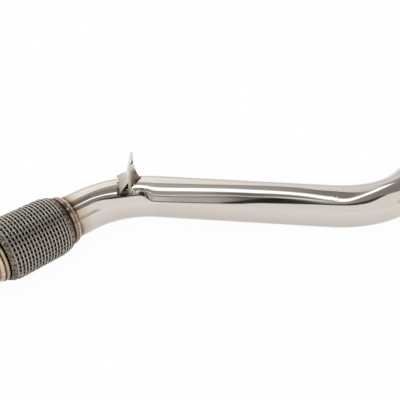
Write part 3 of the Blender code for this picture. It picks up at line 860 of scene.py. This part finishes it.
@dataclass
class WovenSleeve:
    """The woven sleeve: ring strands over lengthwise strands, each of a few wires side by side."""

    rest: RestingPlace
    rings: int = 18
    pitch: float = 0.005735
    middle: float = 0.0025
    columns: int = 40
    turn: float = math.radians(2.5)
    radius: float = 0.0522
    end_radius: float = 0.0496
    taper: float = 0.014
    wire: float = 0.00040
    ring_wires: int = 3
    row_wires: int = 4
    band_radius: float = 0.0466
    band_end: float = 0.0562
    weave: float = 0.00075
    sunk: float = 0.0012
    ring_lift: float = 0.00068
    ring_share: float = 0.12
    ring_spacing: float = 1.8
    ring_crown: float = 0.0002
    ring_wander: float = 0.00018
    row_drop: float = 0.00055
    row_share: float = 0.5
    row_spacing: float = 2.0
    row_spread: float = 1.3
    row_wander: float = 0.00016
    lay_shifts: tuple[float, float] = (0.37, 0.29)
    # Depth over which the painted shade goes from the crests to black.
    painted_shade_depth: float = 0.0026
    steps: int = 6
    end_steps: int = 6
    wire_sides: int = 5
    wire_turn: float = 0.3

    @property
    def reach(self) -> float:
        """Half the length of the woven rings."""
        return self.rings * self.pitch / 2

    def profile(self, z: np.ndarray) -> np.ndarray:
        """Radius of the weave's middle at a height, drawn in at both ends."""
        from_middle = np.abs(z - self.middle)
        inside = np.clip((self.reach - from_middle) / self.taper, 0.0, 1.0)
        body = self.end_radius + (self.radius - self.end_radius) * np.sin(inside * math.pi / 2)
        room = self.band_end - self.reach - np.sign(z) * self.middle
        past = np.clip((from_middle - self.reach) / room, 0.0, 1.0)
        return body - self.sunk - (self.end_radius - self.sunk - self.band_radius) * past**1.3

    def add_wire(
        self,
        skin: Skin,
        line: np.ndarray,
        outward: np.ndarray,
        across: np.ndarray,
        lay: np.ndarray,
        closed: bool,
    ) -> None:
        """Adds a round wire along a line of points.

        Args:
            skin: The skin that it is added to.
            line: Points by 3.
            outward: Unit directions away from the sleeve, of the same shape.
            across: Unit directions across the wire and along the sleeve's face, of the same shape.
            lay: Unbent places, of the same shape.
            closed: Whether the wire is a loop.
        """
        turn = (ring_angles(self.wire_sides) + self.wire_turn)[None, :, None]
        section = np.cos(turn) * outward[:, None] + np.sin(turn) * across[:, None]
        lays = np.repeat(lay[:, None], self.wire_sides, axis=1)
        skin.add_grid(line[:, None] + self.wire * section, lays, closed, True)

    def add_rings(self, skin: Skin, sign: int) -> None:
        """Adds one half's ring strands, whose wires lie side by side."""
        theta = ring_angles(self.columns * self.steps) + self.turn
        cycle = (theta - self.turn) * self.columns / 2
        outward = np.stack([np.cos(theta), np.sin(theta), 0 * theta], axis=-1)
        across = np.repeat(UP[None], len(theta), axis=0)
        for i in range(self.rings):
            z = self.middle + (i + 0.5 - self.rings / 2) * self.pitch
            if z * sign < 0:
                continue
            over = np.cos(cycle + math.pi * (i % 2))
            radius = self.profile(np.array(z)) + self.ring_lift + self.ring_share * self.weave * over
            for k in range(self.ring_wires):
                side = k - (self.ring_wires - 1) / 2
                shift = side * self.ring_spacing * self.wire
                wander = self.ring_wander * np.sin(cycle * 2 + 2.1 * k)
                line = outward * (radius - self.ring_crown * side**2)[:, None]
                line = line + UP * (z + shift + wander)[:, None]
                self.add_wire(skin, line, outward, across, line + UP * (self.lay_shifts[0] * k), True)

    def add_rows(self, skin: Skin, sign: int) -> None:
        """Adds one half's lengthwise strands, which spread where they are drawn in."""
        reach = self.reach + sign * self.middle
        woven = np.linspace(0.0, reach, self.rings // 2 * self.steps + 1)
        rows = np.concatenate([woven, np.linspace(reach, self.band_end, self.end_steps + 1)[1:]])
        z = sign * rows
        fade = np.clip((reach - rows) / self.pitch + 0.4, 0.0, 1.0)
        drawn = np.clip((rows - reach) / (self.band_end - reach), 0.0, 1.0)
        spread = self.row_spacing + self.row_spread * drawn
        for column in range(self.columns):
            base = (column + 0.5) * math.tau / self.columns + self.turn
            over = -np.cos(math.pi * ((z - self.middle) / self.pitch - 0.5)) * (-1.0) ** column
            radius = self.profile(z) - self.row_drop + self.row_share * self.weave * over * fade
            for k in range(self.row_wires):
                shift = (k - (self.row_wires - 1) / 2) * spread * self.wire
                wander = self.row_wander * np.sin(rows * math.tau / self.pitch + 1.7 * k + column)
                angle = base + (shift + wander) / radius
                outward = np.stack([np.cos(angle), np.sin(angle), 0 * angle], axis=-1)
                across = np.stack([-np.sin(angle), np.cos(angle), 0 * angle], axis=-1)
                line = outward * radius[:, None] + UP * z[:, None]
                lay = line + np.array([self.lay_shifts[1] * k, 0.0, 0.0])
                self.add_wire(skin, line, outward, across, lay, False)

    def half(self, name: str, sign: int) -> bpy.types.Object:
        """Weaves one half of the sleeve, and marks how deep each point lies in the weave, for the painted
        shade.

        Args:
            name: The piece's name.
            sign: 1 for the turbo's half and -1 for the other.

        Returns:
            The object.
        """
        skin = Skin()
        self.add_rings(skin, sign)
        self.add_rows(skin, sign)
        points = np.concatenate(skin.points)
        crest = self.profile(points[:, 2]) + self.ring_lift + self.wire
        depths = (crest - np.hypot(points[:, 0], points[:, 1])) / self.painted_shade_depth
        obj = skin.mesh_object(name, self.rest.flex, 180.0)
        note(obj.data, "depth", depths)
        return obj

    def build(self) -> None:
        """Weaves both halves, bakes their places and dresses them."""
        finish = WovenWire().material("woven_wire")
        for name, sign in (("braid_rear_half", -1), ("braid_front_half", 1)):
            obj = self.half(name, sign)
            bend_with_coupling(obj, sign)
            dress(obj, finish, "woven_wire", "flex_braid")


@dataclass
class FlexCoupling:
    """Rings, welds and inner sleeves of the flex coupling."""

    layout: PipeLayout
    rest: RestingPlace
    collar_bore: float = 0.0384
    collar_radius: float = 0.0423
    collar_inner: float = 0.048
    collar_outer: float = 0.068
    weld_width: float = 0.007
    weld_sides: int = 288
    ripples: int = 38
    ripple: float = 0.00030
    ripple_lean: float = 0.0004
    neck_radius: float = 0.0440
    neck_gap: float = 0.0012
    rear_band: tuple[float, float] = (0.0484, 0.0572)
    front_band: tuple[float, float] = (0.0506, 0.0600)
    band_wires: int = 160
    band_rib: float = 0.00022
    band_bore: float = 0.0455
    band_radius: float = 0.0479
    bellows_root: float = 0.0434
    bellows_crest: float = 0.0480
    bellows_wall: float = 0.0008
    folds: int = 7
    folds_half: float = 0.038
    cuff_end: float = 0.059
    ribs: int = 6
    rib_depth: float = 0.0006
    liner_end: float = 0.0577
    soft_sides: int = 96

    def collar_outline(self, neck: float) -> Outline:
        """Outline of an end ring: a groove beside the band, and a neck ring that starts at a height."""
        return round_outline(
            [
                (self.collar_radius, self.collar_outer),
                (self.neck_radius - 0.0002, self.collar_outer - 0.0004),
                (self.neck_radius, self.collar_outer - 0.0020),
                (self.neck_radius, neck + 0.0016),
                (self.neck_radius - 0.0004, neck + 0.0004),
                (self.collar_radius, neck),
                (self.collar_radius, self.collar_inner),
                (self.collar_bore, self.collar_inner),
                (self.collar_bore, self.collar_outer),
            ],
            0.0007,
        )

    def band(self, name: str, first: float, last: float, place: Matrix) -> bpy.types.Object:
        """Makes the band in which the weave's ends are drawn in, ribbed by its wires.

        Args:
            name: The piece's name.
            first: Height at which it comes out of the weave.
            last: Height of its free end.
            place: Matrix from the band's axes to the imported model's.

        Returns:
            The object.
        """
        outline = round_outline(
            [
                (self.band_bore - 0.0008, last),
                (self.band_bore + 0.0004, last - 0.0004),
                (self.band_radius - 0.0006, last - 0.0030),
                (self.band_radius + 0.0008, 0.5 * (first + last) - 0.0008),
                (self.band_radius + 0.0012, first),
                (self.band_bore + 0.0004, first),
                (self.band_bore - 0.0008, first + 0.0010),
            ],
            0.0008,
        )
        rib = self.band_rib * np.abs(np.sin(ring_angles(self.band_wires * 6) * self.band_wires / 2))
        free = self.band_bore + 0.0001
        rows = [(radius + rib * (radius > free), height + 0 * rib) for radius, height in outline]
        return ring_skin(name, rows, place, 80.0)

    def weld_skin(self, name: str, place: Matrix) -> bpy.types.Object:
        """Makes the rippled bead in the corner between the collar and the tube.

        Args:
            name: The piece's name.
            place: Matrix from the bead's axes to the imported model's.

        Returns:
            The object.
        """
        wave = np.sin(ring_angles(self.weld_sides) * self.ripples)
        ripple = self.ripple * np.abs(wave) ** 0.7
        low = self.layout.tube_radius + self.layout.gap
        start = self.collar_outer + 0.0002
        rows = []
        for out, along, share in (
            (0.0, 0.0, 0.0), (0.0030, 0.0, 0.0), (0.0036, 0.0008, 0.4), (0.0036, 0.0022, 1.0),
            (0.0030, 0.0038, 1.0), (0.0019, 0.0052, 1.0), (0.0008, 0.0063, 0.6), (0.0001, 0.0068, 0.0),
            (0.0, 0.0068, 0.0),
        ):
            rows.append((low + out + share * ripple, start + along + share * self.ripple_lean * wave))
        return ring_skin(name, rows, place)

    def bellows_outline(self, sign: int) -> Outline:
        """Outline of one half of the bellows."""
        outer: Outline = [(self.bellows_root, self.cuff_end), (self.bellows_root, self.folds_half)]
        pitch = 2 * self.folds_half / self.folds
        z = self.folds_half
        while z > 0.6 * pitch:
            for share, radius in ((0.2, 0.6), (0.35, 1.0), (0.65, 1.0), (0.8, 0.6), (1.0, 0.0)):
                height = self.bellows_root + radius * (self.bellows_crest - self.bellows_root)
                outer.append((height, z - share * pitch))
            z -= pitch
        outer += [(self.bellows_crest, z - 0.35 * pitch), (self.bellows_crest, 0.0)]
        inner = [(radius - self.bellows_wall, height) for radius, height in reversed(outer)]
        return [(radius, sign * height) for radius, height in outer + inner]

    def liner_outline(self, sign: int) -> Outline:
        """Outline of one half of the liner, with its ribs."""
        outer_radius = self.layout.tube_radius
        inner_radius = outer_radius - self.layout.wall
        outer: Outline = [(outer_radius, self.liner_end)]
        pitch = 2 * self.collar_inner / self.ribs
        z = self.collar_inner
        while z > 0.6 * pitch:
            outer += [(outer_radius, z), (outer_radius - self.rib_depth, z - pitch / 2)]
            z -= pitch
        outer += [(outer_radius, z), (outer_radius - self.rib_depth, 0.0)]
        inner = [(inner_radius, 0.0), (inner_radius, self.liner_end)]
        return [(radius, sign * height) for radius, height in outer + inner]

    def build_ends(self) -> None:
        """Builds and dresses both ends' rings, bands and welds."""
        # Heat tint bands with painted shade: black in the groove at the low end, and dark again beside the
        # weld.
        rear_tint_and_shade = (
            (0.0, (0.015, 0.011, 0.008)),
            (0.36, (0.02, 0.014, 0.01)),
            (0.46, (0.22, 0.145, 0.11)),
            (0.62, (0.44, 0.33, 0.27)),
            (0.78, (0.34, 0.23, 0.18)),
            (0.88, (0.10, 0.055, 0.04)),
            (1.0, (0.04, 0.025, 0.02)),
        )
        front_tint_and_shade = (
            (0.0, (0.03, 0.022, 0.016)),
            (0.34, (0.05, 0.035, 0.02)),
            (0.42, (0.20, 0.155, 0.09)),
            (0.58, (0.46, 0.41, 0.27)),
            (0.78, (0.52, 0.47, 0.32)),
            (0.90, (0.22, 0.155, 0.12)),
            (1.0, (0.05, 0.035, 0.028)),
        )
        copper = (
            (0.30, (0.42, 0.24, 0.18)),
            (0.45, (0.66, 0.45, 0.35)),
            (0.58, (0.80, 0.62, 0.52)),
            (0.72, (0.58, 0.38, 0.28)),
        )
        rear_ring = TurnedSteel(bands=rear_tint_and_shade, low=0.056, high=0.0684, roughness=0.09)
        front_ring = TurnedSteel(bands=front_tint_and_shade, low=0.058, high=0.0682, roughness=0.14)
        rear_wire = DrawnWire(light=(0.34, 0.29, 0.235), dark=(0.05, 0.038, 0.029))
        front_wire = DrawnWire(light=(0.32, 0.265, 0.205), dark=(0.05, 0.038, 0.028))
        # Where the ring beads turn darker at their edges.
        darkening = {"low": self.collar_outer, "high": self.collar_outer + self.weld_width + 0.0001}
        rear_weld, front_weld = TintedWeld(**darkening), TintedWeld(hues=copper, **darkening)
        for side, (first, last), place, body, ring, wire, weld in (
            ("rear", self.rear_band, self.rest.flex_rear, Body.PIPE, rear_ring, rear_wire, rear_weld),
            ("front", self.front_band, self.rest.flex, Body.INLET, front_ring, front_wire, front_weld),
        ):
            collar = lathe(side + "_end_ring", self.collar_outline(last + self.neck_gap), place)
            wear(collar, ring.material(side + "_ring_tint"), body, "turned_collar", side + "_collar")
            band = self.band(side + "_drawn_band", first, last, place)
            wear(band, wire.material("drawn_wire_" + side), body, "end_band", side + "_end_band")
            bead = self.weld_skin(side + "_ring_bead", place)
            wear(bead, weld.material(side + "_weld_tint"), body, "tinted_weld", side + "_collar_weld")

    def build(self) -> None:
        """Builds and dresses both ends, the bellows and the liner."""
        self.build_ends()
        # Painted shade: the bellows are near black, standing in for the shade inside the coupling.
        dark = PlainSteel(steel=(0.035, 0.030, 0.026), roughness=0.5).material("painted_shade_bellows")
        strip = PlainSteel(steel=(0.5, 0.46, 0.42), roughness=0.35).material("liner_strip")
        for sign, side in ((-1, "rear"), (1, "front")):
            for word, outline, finish, slot, node in (
                ("bellows", self.bellows_outline(sign), dark, "bellows_sheet", "flex_bellows"),
                ("liner", self.liner_outline(sign), strip, "liner_strip", "flex_liner"),
            ):
                obj = lathe(f"{word}_{side}_half", outline, self.rest.flex, self.soft_sides)
                bend_with_coupling(obj, sign)
                dress(obj, finish, slot, node)


@dataclass
class InletStub:
    """The stub in front of the coupling, with the flange that clamps to the turbo."""

    layout: PipeLayout
    rest: RestingPlace
    start: float = 0.058
    end: float = 0.121
    flange_radius: float = 0.0495
    flange_length: float = 0.016
    flange_insert: float = 0.009
    flange_bevel: float = 0.0008
    flange_rim: float = 0.005
    flange_cone: float = 0.0095
    hub_wall: float = 0.0042

    def build(self) -> None:
        """Builds and dresses the stub, the flange and its bead."""
        outer, gap = self.layout.tube_radius, self.layout.gap
        inner = outer - self.layout.wall
        tint = (
            (0.0, (0.42, 0.26, 0.19)),
            (0.25, (0.62, 0.42, 0.33)),
            (0.6, (0.66, 0.52, 0.42)),
            (1.0, (0.70, 0.63, 0.56)),
        )
        copper = TurnedSteel(bands=tint, low=0.072, high=0.115, roughness=0.12).material("copper_tinted_stub")
        stub = [(outer, self.end), (outer, self.start), (inner, self.start), (inner, self.end)]
        wear(lathe("stub_tube", stub, self.rest.flex), copper, Body.INLET, "polished_tube", "inlet_tube")
        base = self.end - self.flange_insert
        face = base + self.flange_length
        hub = outer + gap + self.hub_wall
        flange = [
            (self.flange_radius - self.flange_bevel, face),
            (self.flange_radius, face - self.flange_bevel),
            (self.flange_radius, face - self.flange_rim),
            (hub, face - self.flange_cone),
            (hub, base),
            (outer + gap, base),
            (outer + gap, self.end + gap),
            (inner, self.end + gap),
            (inner, face),
        ]
        satin = PlainSteel(steel=(0.62, 0.585, 0.54), roughness=0.28).material("flange_steel")
        ring = lathe("turbo_flange", round_outline(flange, 0.0006), self.rest.flex)
        wear(ring, satin, Body.INLET, "flange_steel", "inlet_flange")
        corner = FlexCoupling(self.layout, self.rest, collar_outer=-base)
        bead = corner.weld_skin("flange_bead", self.rest.flex_rear)
        weld = TintedWeld().material("tinted_flange_weld")
        wear(bead, weld, Body.INLET, "tinted_weld", "inlet_flange_weld")


@dataclass
class HangerBracket:
    """The hanger bracket and its weld beads."""

    layout: PipeLayout
    rest: RestingPlace
    bevel: float = 0.00045
    facing: float = -0.25
    hole: tuple[float, float, float] = (0.0335, -0.0014, 0.0716)
    hole_reach: float = 0.0046

    def places(self) -> Matrix:
        """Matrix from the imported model's axes to the bracket's, along the tube, outwards and up."""
        along = Vector((math.cos(self.layout.bracket_station), math.sin(self.layout.bracket_station), 0.0))
        up = Vector((0.0, 0.0, 1.0))
        matrix = Matrix((along, up.cross(along), up)).transposed().to_4x4()
        matrix.translation = self.layout.front_point(self.layout.bracket_station)
        return (self.rest.flat @ matrix).inverted()

    def darkening(self, obj: bpy.types.Object, inner: bpy.types.Material) -> None:
        """Paints shade on the side that faces the tube, and on the hole's wall, as a dark finish of their
        own.
        """
        obj.data.materials.append(inner)
        turn = self.places()
        middle = Vector(self.hole)
        for face in obj.data.polygons:
            centre, normal = turn @ face.center, turn.to_3x3() @ face.normal
            outwards = Vector((0.0, centre.y, centre.z)).normalized()
            in_hole = (centre - middle).length < self.hole_reach and abs(normal.z) > 0.01
            face.material_index = int(normal.dot(outwards) < self.facing or in_hole)

    def break_edges(self, obj: bpy.types.Object) -> None:
        """Breaks the sheet's cut edges."""
        rounding = obj.modifiers.new("Broken edges", "BEVEL")
        rounding.width = self.bevel
        rounding.segments = 2
        rounding.limit_method = "ANGLE"
        rounding.angle_limit = math.radians(32)
        rounding.harden_normals = True

    def copied(self, name: str, node: str) -> bpy.types.Object:
        """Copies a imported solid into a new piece, and notes its places for the materials.

        A place is the length from the tube's centre line, the one along the tube and the one outwards.

        Args:
            name: The piece's name.
            node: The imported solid's node.

        Returns:
            The object, without a material.
        """
        solid = frame["nodes"][node]
        obj = add_object(name, solid.data.copy())
        obj.matrix_world = solid.matrix_world
        obj.data.materials.clear()
        turn = self.places()
        points = [turn @ vertex.co for vertex in obj.data.vertices]
        lays = np.array([(math.hypot(point.y, point.z), point.x, point.y) for point in points])
        note(obj.data, "lay", lays)
        return obj

    def build(self) -> None:
        """Builds and dresses the sheet and the beads at its feet."""
        outer = BracketSteel().material("bracket_sheet")
        # Painted shade: a near-black material for the bracket's inside and the hole's wall.
        inner = PlainSteel(steel=(0.030, 0.026, 0.018), roughness=0.55).material("painted_shade_bracket_inside")
        sheet = self.copied("folded_bracket", "hanger_bracket")
        wear(sheet, outer, Body.PIPE, "bracket_sheet", "hanger_bracket")
        self.darkening(sheet, inner)
        self.break_edges(sheet)
        dark = (
            (0.32, (0.06, 0.035, 0.028)),
            (0.46, (0.20, 0.12, 0.095)),
            (0.60, (0.34, 0.23, 0.19)),
            (0.70, (0.13, 0.08, 0.07)),
        )
        weld = TintedWeld(hues=dark).material("tinted_bracket_weld")
        for side in ("left", "right", "leg"):
            node = side + "_bracket_weld"
            wear(self.copied(side + "_foot_bead", node), weld, Body.PIPE, "tinted_weld", node)


# The studio


@dataclass(frozen=True)
class PhotoCamera:
    """The camera, as fitted to the outline of the pipe in its flat layout."""

    lens: float = 46.8
    distance: float = 1.0241
    elevation: float = math.radians(32.54)
    yaw: float = math.radians(-5.94)
    target: tuple[float, float, float] = (0.0736, 0.0551, -0.0381)
    sensor: float = 36.0
    near: float = 0.01

    def build(self, rest: RestingPlace) -> None:
        """Makes the camera."""
        level = math.cos(self.elevation)
        ahead = Vector((math.sin(self.yaw) * level, math.cos(self.yaw) * level, -math.sin(self.elevation)))
        right = Vector((math.cos(self.yaw), -math.sin(self.yaw), 0.0))
        up = right.cross(ahead)
        matrix = Matrix((right, up, -ahead)).transposed().to_4x4()
        matrix.translation = Vector(self.target) - ahead * self.distance
        data = bpy.data.cameras.new("photo_camera")
        data.lens = self.lens
        data.sensor_width = self.sensor
        data.clip_start = self.near
        camera = add_object("photo_camera", data)
        camera.matrix_world = rest.flat @ matrix
        bpy.context.scene.camera = camera


class Tone(Enum):
    """Tones of the studio's panels, as the light that each sends."""

    BLACK = (0.018, 0.018, 0.017)
    SOOT = (0.065, 0.06, 0.055)
    UMBER = (0.17, 0.16, 0.15)
    BROWN = (0.23, 0.215, 0.19)
    SLATE = (0.275, 0.26, 0.245)
    GREY = (0.42, 0.41, 0.39)
    PEARL = (0.55, 0.54, 0.53)
    PALE = (0.75, 0.75, 0.74)
    PAPER = (0.92, 0.93, 0.92)
    WHITE = (1.08, 1.10, 1.10)
    LAMP = (1.80, 1.92, 2.0)


@dataclass(frozen=True)
class Wall:
    """One band of the room: its lower edge, how soft that edge is, and where it has each tone.

    The edge's places are (degrees to the right of the pipe's broad side, degrees up from the front horizon),
    and a tone's places are degrees to the right.
    """

    edge: Sequence[tuple[float, float]]
    soft: float
    tones: Mapping[Tone, Sequence[float]]


@dataclass
class Studio:
    """White floor, and a room of soft boxes and darker walls that the polished tube mirrors."""

    floor_shade: Colour = (0.93, 0.925, 0.92)
    left: float = -20.0
    width: float = 110.0
    low: float = -10.0
    height: float = 200.0
    paper: Mapping[Tone, Sequence[float]] = field(
        default_factory=lambda: {Tone.PAPER: (70.0,), Tone.GREY: (82.0,)}
    )
    fan_from: float = 95.0
    fan_rise: float = 60.0
    fan_side: float = 12.0
    fan_by: float = 8.0
    floor_size: float = 12.0
    floor_drop: float = 0.0005
    floor_seen: float = 0.96
    floor_mirrored: float = 0.50
    walls: Sequence[Wall] = (
        Wall(
            ((-10, 1), (-7, 3.5), (-4.5, 7), (-2, 11), (0, 16), (1.2, 20), (2.6, 25), (5, 29), (7, 32.5),
             (9.3, 35), (15.8, 36), (25, 37.5), (33, 42), (39, 49), (42, 58), (44, 80), (46, 150)),
            0.8,
            {Tone.SOOT: (-10, -2.8, 7.5, 12, 40), Tone.BLACK: (-1.2, 5)},
        ),
        Wall(
            ((-10, 5.5), (-7, 8), (-4.5, 11.5), (-2.7, 14.5), (-1.9, 20), (-0.2, 31), (0.9, 37), (2, 44),
             (3, 51), (4.1, 55), (5.2, 57), (6.3, 56), (7.4, 50), (8.4, 47), (9.5, 43), (12.4, 42.5),
             (16, 43.5), (23, 47), (30.5, 56), (36, 67), (39, 80), (41, 105), (43, 150)),
            1.4,
            {Tone.PALE: (-10,), Tone.PEARL: (-7.0, -3.6), Tone.GREY: (-1.3, 10, 20),
             Tone.UMBER: (0.9, 3.5), Tone.BROWN: (8.2,), Tone.SLATE: (38,)},
        ),
        Wall(
            ((-10, 30), (-8.1, 31), (-5.9, 35.5), (-3.6, 41), (-1.3, 47), (0.9, 52.5), (2.2, 55),
             (5.2, 60), (7.4, 57), (9.5, 52), (15, 50), (30, 70), (50, 100)),
            0.5,
            {Tone.UMBER: (-10,), Tone.SOOT: (-5.0,), Tone.BLACK: (-1.3, 0.9), Tone.BROWN: (2.6,),
             Tone.GREY: (12, 20), Tone.SLATE: (38,)},
        ),
        Wall(
            ((-10, 33.5), (-8.1, 34.5), (-5.9, 39), (-3.6, 44.5), (-1.3, 50.5), (0.9, 56), (2.2, 56.5),
             (5.2, 60.5), (7.4, 57.5), (9.5, 52.5), (15, 50.5), (30, 70.5), (50, 100.5)),
            0.5,
            {Tone.PALE: (-10, -1.3, 10.5), Tone.PEARL: (1.5,), Tone.PAPER: (5,), Tone.WHITE: (8,),
             Tone.GREY: (13, 20), Tone.SLATE: (38,)},
        ),
        Wall(
            ((-10, 41), (-8.1, 42.5), (-5.9, 48), (-3.6, 53.5), (-1.3, 58.5), (0.9, 63), (3, 62.5),
             (5.2, 65.5), (7.4, 64.5), (9.5, 60), (12, 53), (15, 51), (30, 71), (50, 101)),
            2.0,
            {Tone.GREY: (-10, -3.6, 11), Tone.SLATE: (-1.3, 5, 8, 38), Tone.UMBER: (0.9,)},
        ),
        Wall(
            ((-10, 62), (-8.1, 64), (-6, 68), (-3.6, 73), (-1.3, 76.5), (0.9, 80), (3, 81), (5.2, 83.5),
             (7.4, 80.5), (9.5, 71), (10.5, 66), (13, 59), (16, 57.5), (20, 60), (24, 68), (26.5, 80),
             (28, 95), (29, 115), (30, 150)),
            5.5,
            {Tone.LAMP: (-10, 20)},
        ),
        Wall(
            ((-10, 80), (-8.1, 81.5), (-6, 84), (-3.6, 90), (-1.3, 95), (0.9, 98), (3, 99), (5.2, 99),
             (7.4, 95), (9.5, 87), (10.5, 82), (14, 74), (19, 74.5), (23, 84), (24.8, 95), (25.6, 105),
             (26.5, 120), (27.5, 150)),
            6.5,
            {Tone.PEARL: (-10, 25), Tone.GREY: (5,), Tone.SLATE: (10, 20), Tone.PALE: (30,)},
        ),
        Wall(
            ((-10, 104), (-8, 106), (-6, 110), (-3.6, 113.5), (-1.3, 119), (0.9, 124), (3, 129),
             (5.2, 131), (7.4, 126), (9.5, 118), (12, 114), (16, 111), (20, 109), (23, 112), (25.5, 122),
             (28, 150)),
            2.5,
            {Tone.GREY: (-10,), Tone.SLATE: (5,), Tone.UMBER: (10, 20), Tone.PALE: (30,)},
        ),
        Wall(
            ((-10, 108), (-8, 110), (-6, 114), (-3.6, 118), (-1.3, 123.5), (0.9, 128.5), (3, 133.5),
             (5.2, 135), (7.4, 130), (9.5, 122), (12, 118), (16, 115), (20, 113), (23, 116), (25.5, 126),
             (28, 152)),
            2.0,
            {Tone.WHITE: (-10,), Tone.PAPER: (8,), Tone.PALE: (30,)},
        ),
        Wall(((-10, 163), (30, 163), (60, 165)), 5.0, {Tone.PALE: (-10, 60)}),
        Wall(
            ((-10, 189), (13, 189), (17, 156), (20.5, 145), (24, 140), (60, 140)),
            5.0,
            {Tone.PALE: (-10,), Tone.PEARL: (16,), Tone.GREY: (24,), Tone.SLATE: (34,)},
        ),
    )

    def floor(self) -> None:
        """Makes the floor."""
        mesh = bpy.data.meshes.new("floor")
        half = self.floor_size / 2
        corners = [(-half, -half, 0), (half, -half, 0), (half, half, 0), (-half, half, 0)]
        mesh.from_pydata(corners, [], [(0, 1, 2, 3)])
        obj = add_object("floor", mesh)
        obj.location.z = -self.floor_drop
        material = bpy.data.materials.new("floor_paper")
        material.use_nodes = True
        graph = Graph(material.node_tree)
        seen = graph.add("ShaderNodeLightPath", None, None, "Is Camera Ray")
        glossy = graph.add("ShaderNodeLightPath", None, None, "Is Glossy Ray")
        paper = graph.add("ShaderNodeBsdfDiffuse", None, {"Color": (*self.floor_shade, 1.0)})
        glow = graph.add("ShaderNodeEmission", None, {"Color": (1.0, 1.0, 1.0, 1.0), "Strength": 1.0})
        share = seen * self.floor_seen + glossy * self.floor_mirrored
        surface = graph.add("ShaderNodeMixShader", None, {0: share, 1: paper, 2: glow})
        graph.output("ShaderNodeOutputMaterial", surface)
        mesh.materials.append(material)

    def stops(self, tones: Mapping[Tone, Sequence[float]]) -> list[tuple[float, Colour]]:
        """A ramp's stops, with their degrees as places from 0 to 1."""
        return [((u - self.left) / self.width, tone.value) for tone, places in tones.items() for u in places]

    def room(self) -> None:
        """Makes the world: white for the camera and the floor, and the room for what mirrors it."""
        world = bpy.data.worlds.new("studio_room")
        world.use_nodes = True
        graph = Graph(world.node_tree)
        direction = graph.add("ShaderNodeTexCoord", None, None, "Generated")
        front, up = -graph.part(direction, 1), graph.part(direction, 2)
        degree = math.degrees(1.0)
        angle = graph.add("ShaderNodeMath", {"operation": "ARCTAN2"}, {0: up, 1: front}) * degree
        aside = graph.add("ShaderNodeMath", {"operation": "ARCSINE"}, {0: graph.part(direction, 0)}) * degree
        behind = (angle - self.fan_from).steps(0.0, self.fan_rise)
        aside = aside + behind * (aside - self.fan_side).steps(0.0, self.fan_by) * self.fan_by
        along = (aside - self.left) / self.width
        walls = graph.ramp(along, self.stops(self.paper))
        for wall in self.walls:
            curve = [((u - self.left) / self.width, (v - self.low) / self.height) for u, v in wall.edge]
            edge = graph.add("ShaderNodeFloatCurve", {"curve": curve}, {"Value": along})
            share = (angle - (edge * self.height + self.low)).steps(-wall.soft, wall.soft)
            walls = graph.mix(share, walls, graph.ramp(along, self.stops(wall.tones)))
        glossy = graph.add("ShaderNodeLightPath", None, None, "Is Glossy Ray")
        light = graph.mix(glossy, (1.0, 1.0, 1.0), walls)
        background = graph.add("ShaderNodeBackground", None, {"Color": light, "Strength": 1.0})
        graph.output("ShaderNodeOutputWorld", background)
        bpy.context.scene.world = world

    def build(self) -> None:
        """Builds the floor and the room."""
        self.floor()
        self.room()
        bpy.context.scene.view_settings.view_transform = "Standard"
        LOG.info("studio built")


def main() -> None:
    """Builds the pipe piece by piece, then the studio and the camera."""
    logging.basicConfig(level=logging.INFO, format="%(name)s: %(message)s")
    layout = PipeLayout()
    rest = RestingPlace(layout)
    MainTube(layout, rest).build()
    WovenSleeve(rest).build()
    FlexCoupling(layout, rest).build()
    InletStub(layout, rest).build()
    HangerBracket(layout, rest).build()
    Studio().build()
    PhotoCamera().build(rest)


if __name__ == "__main__":
    main()
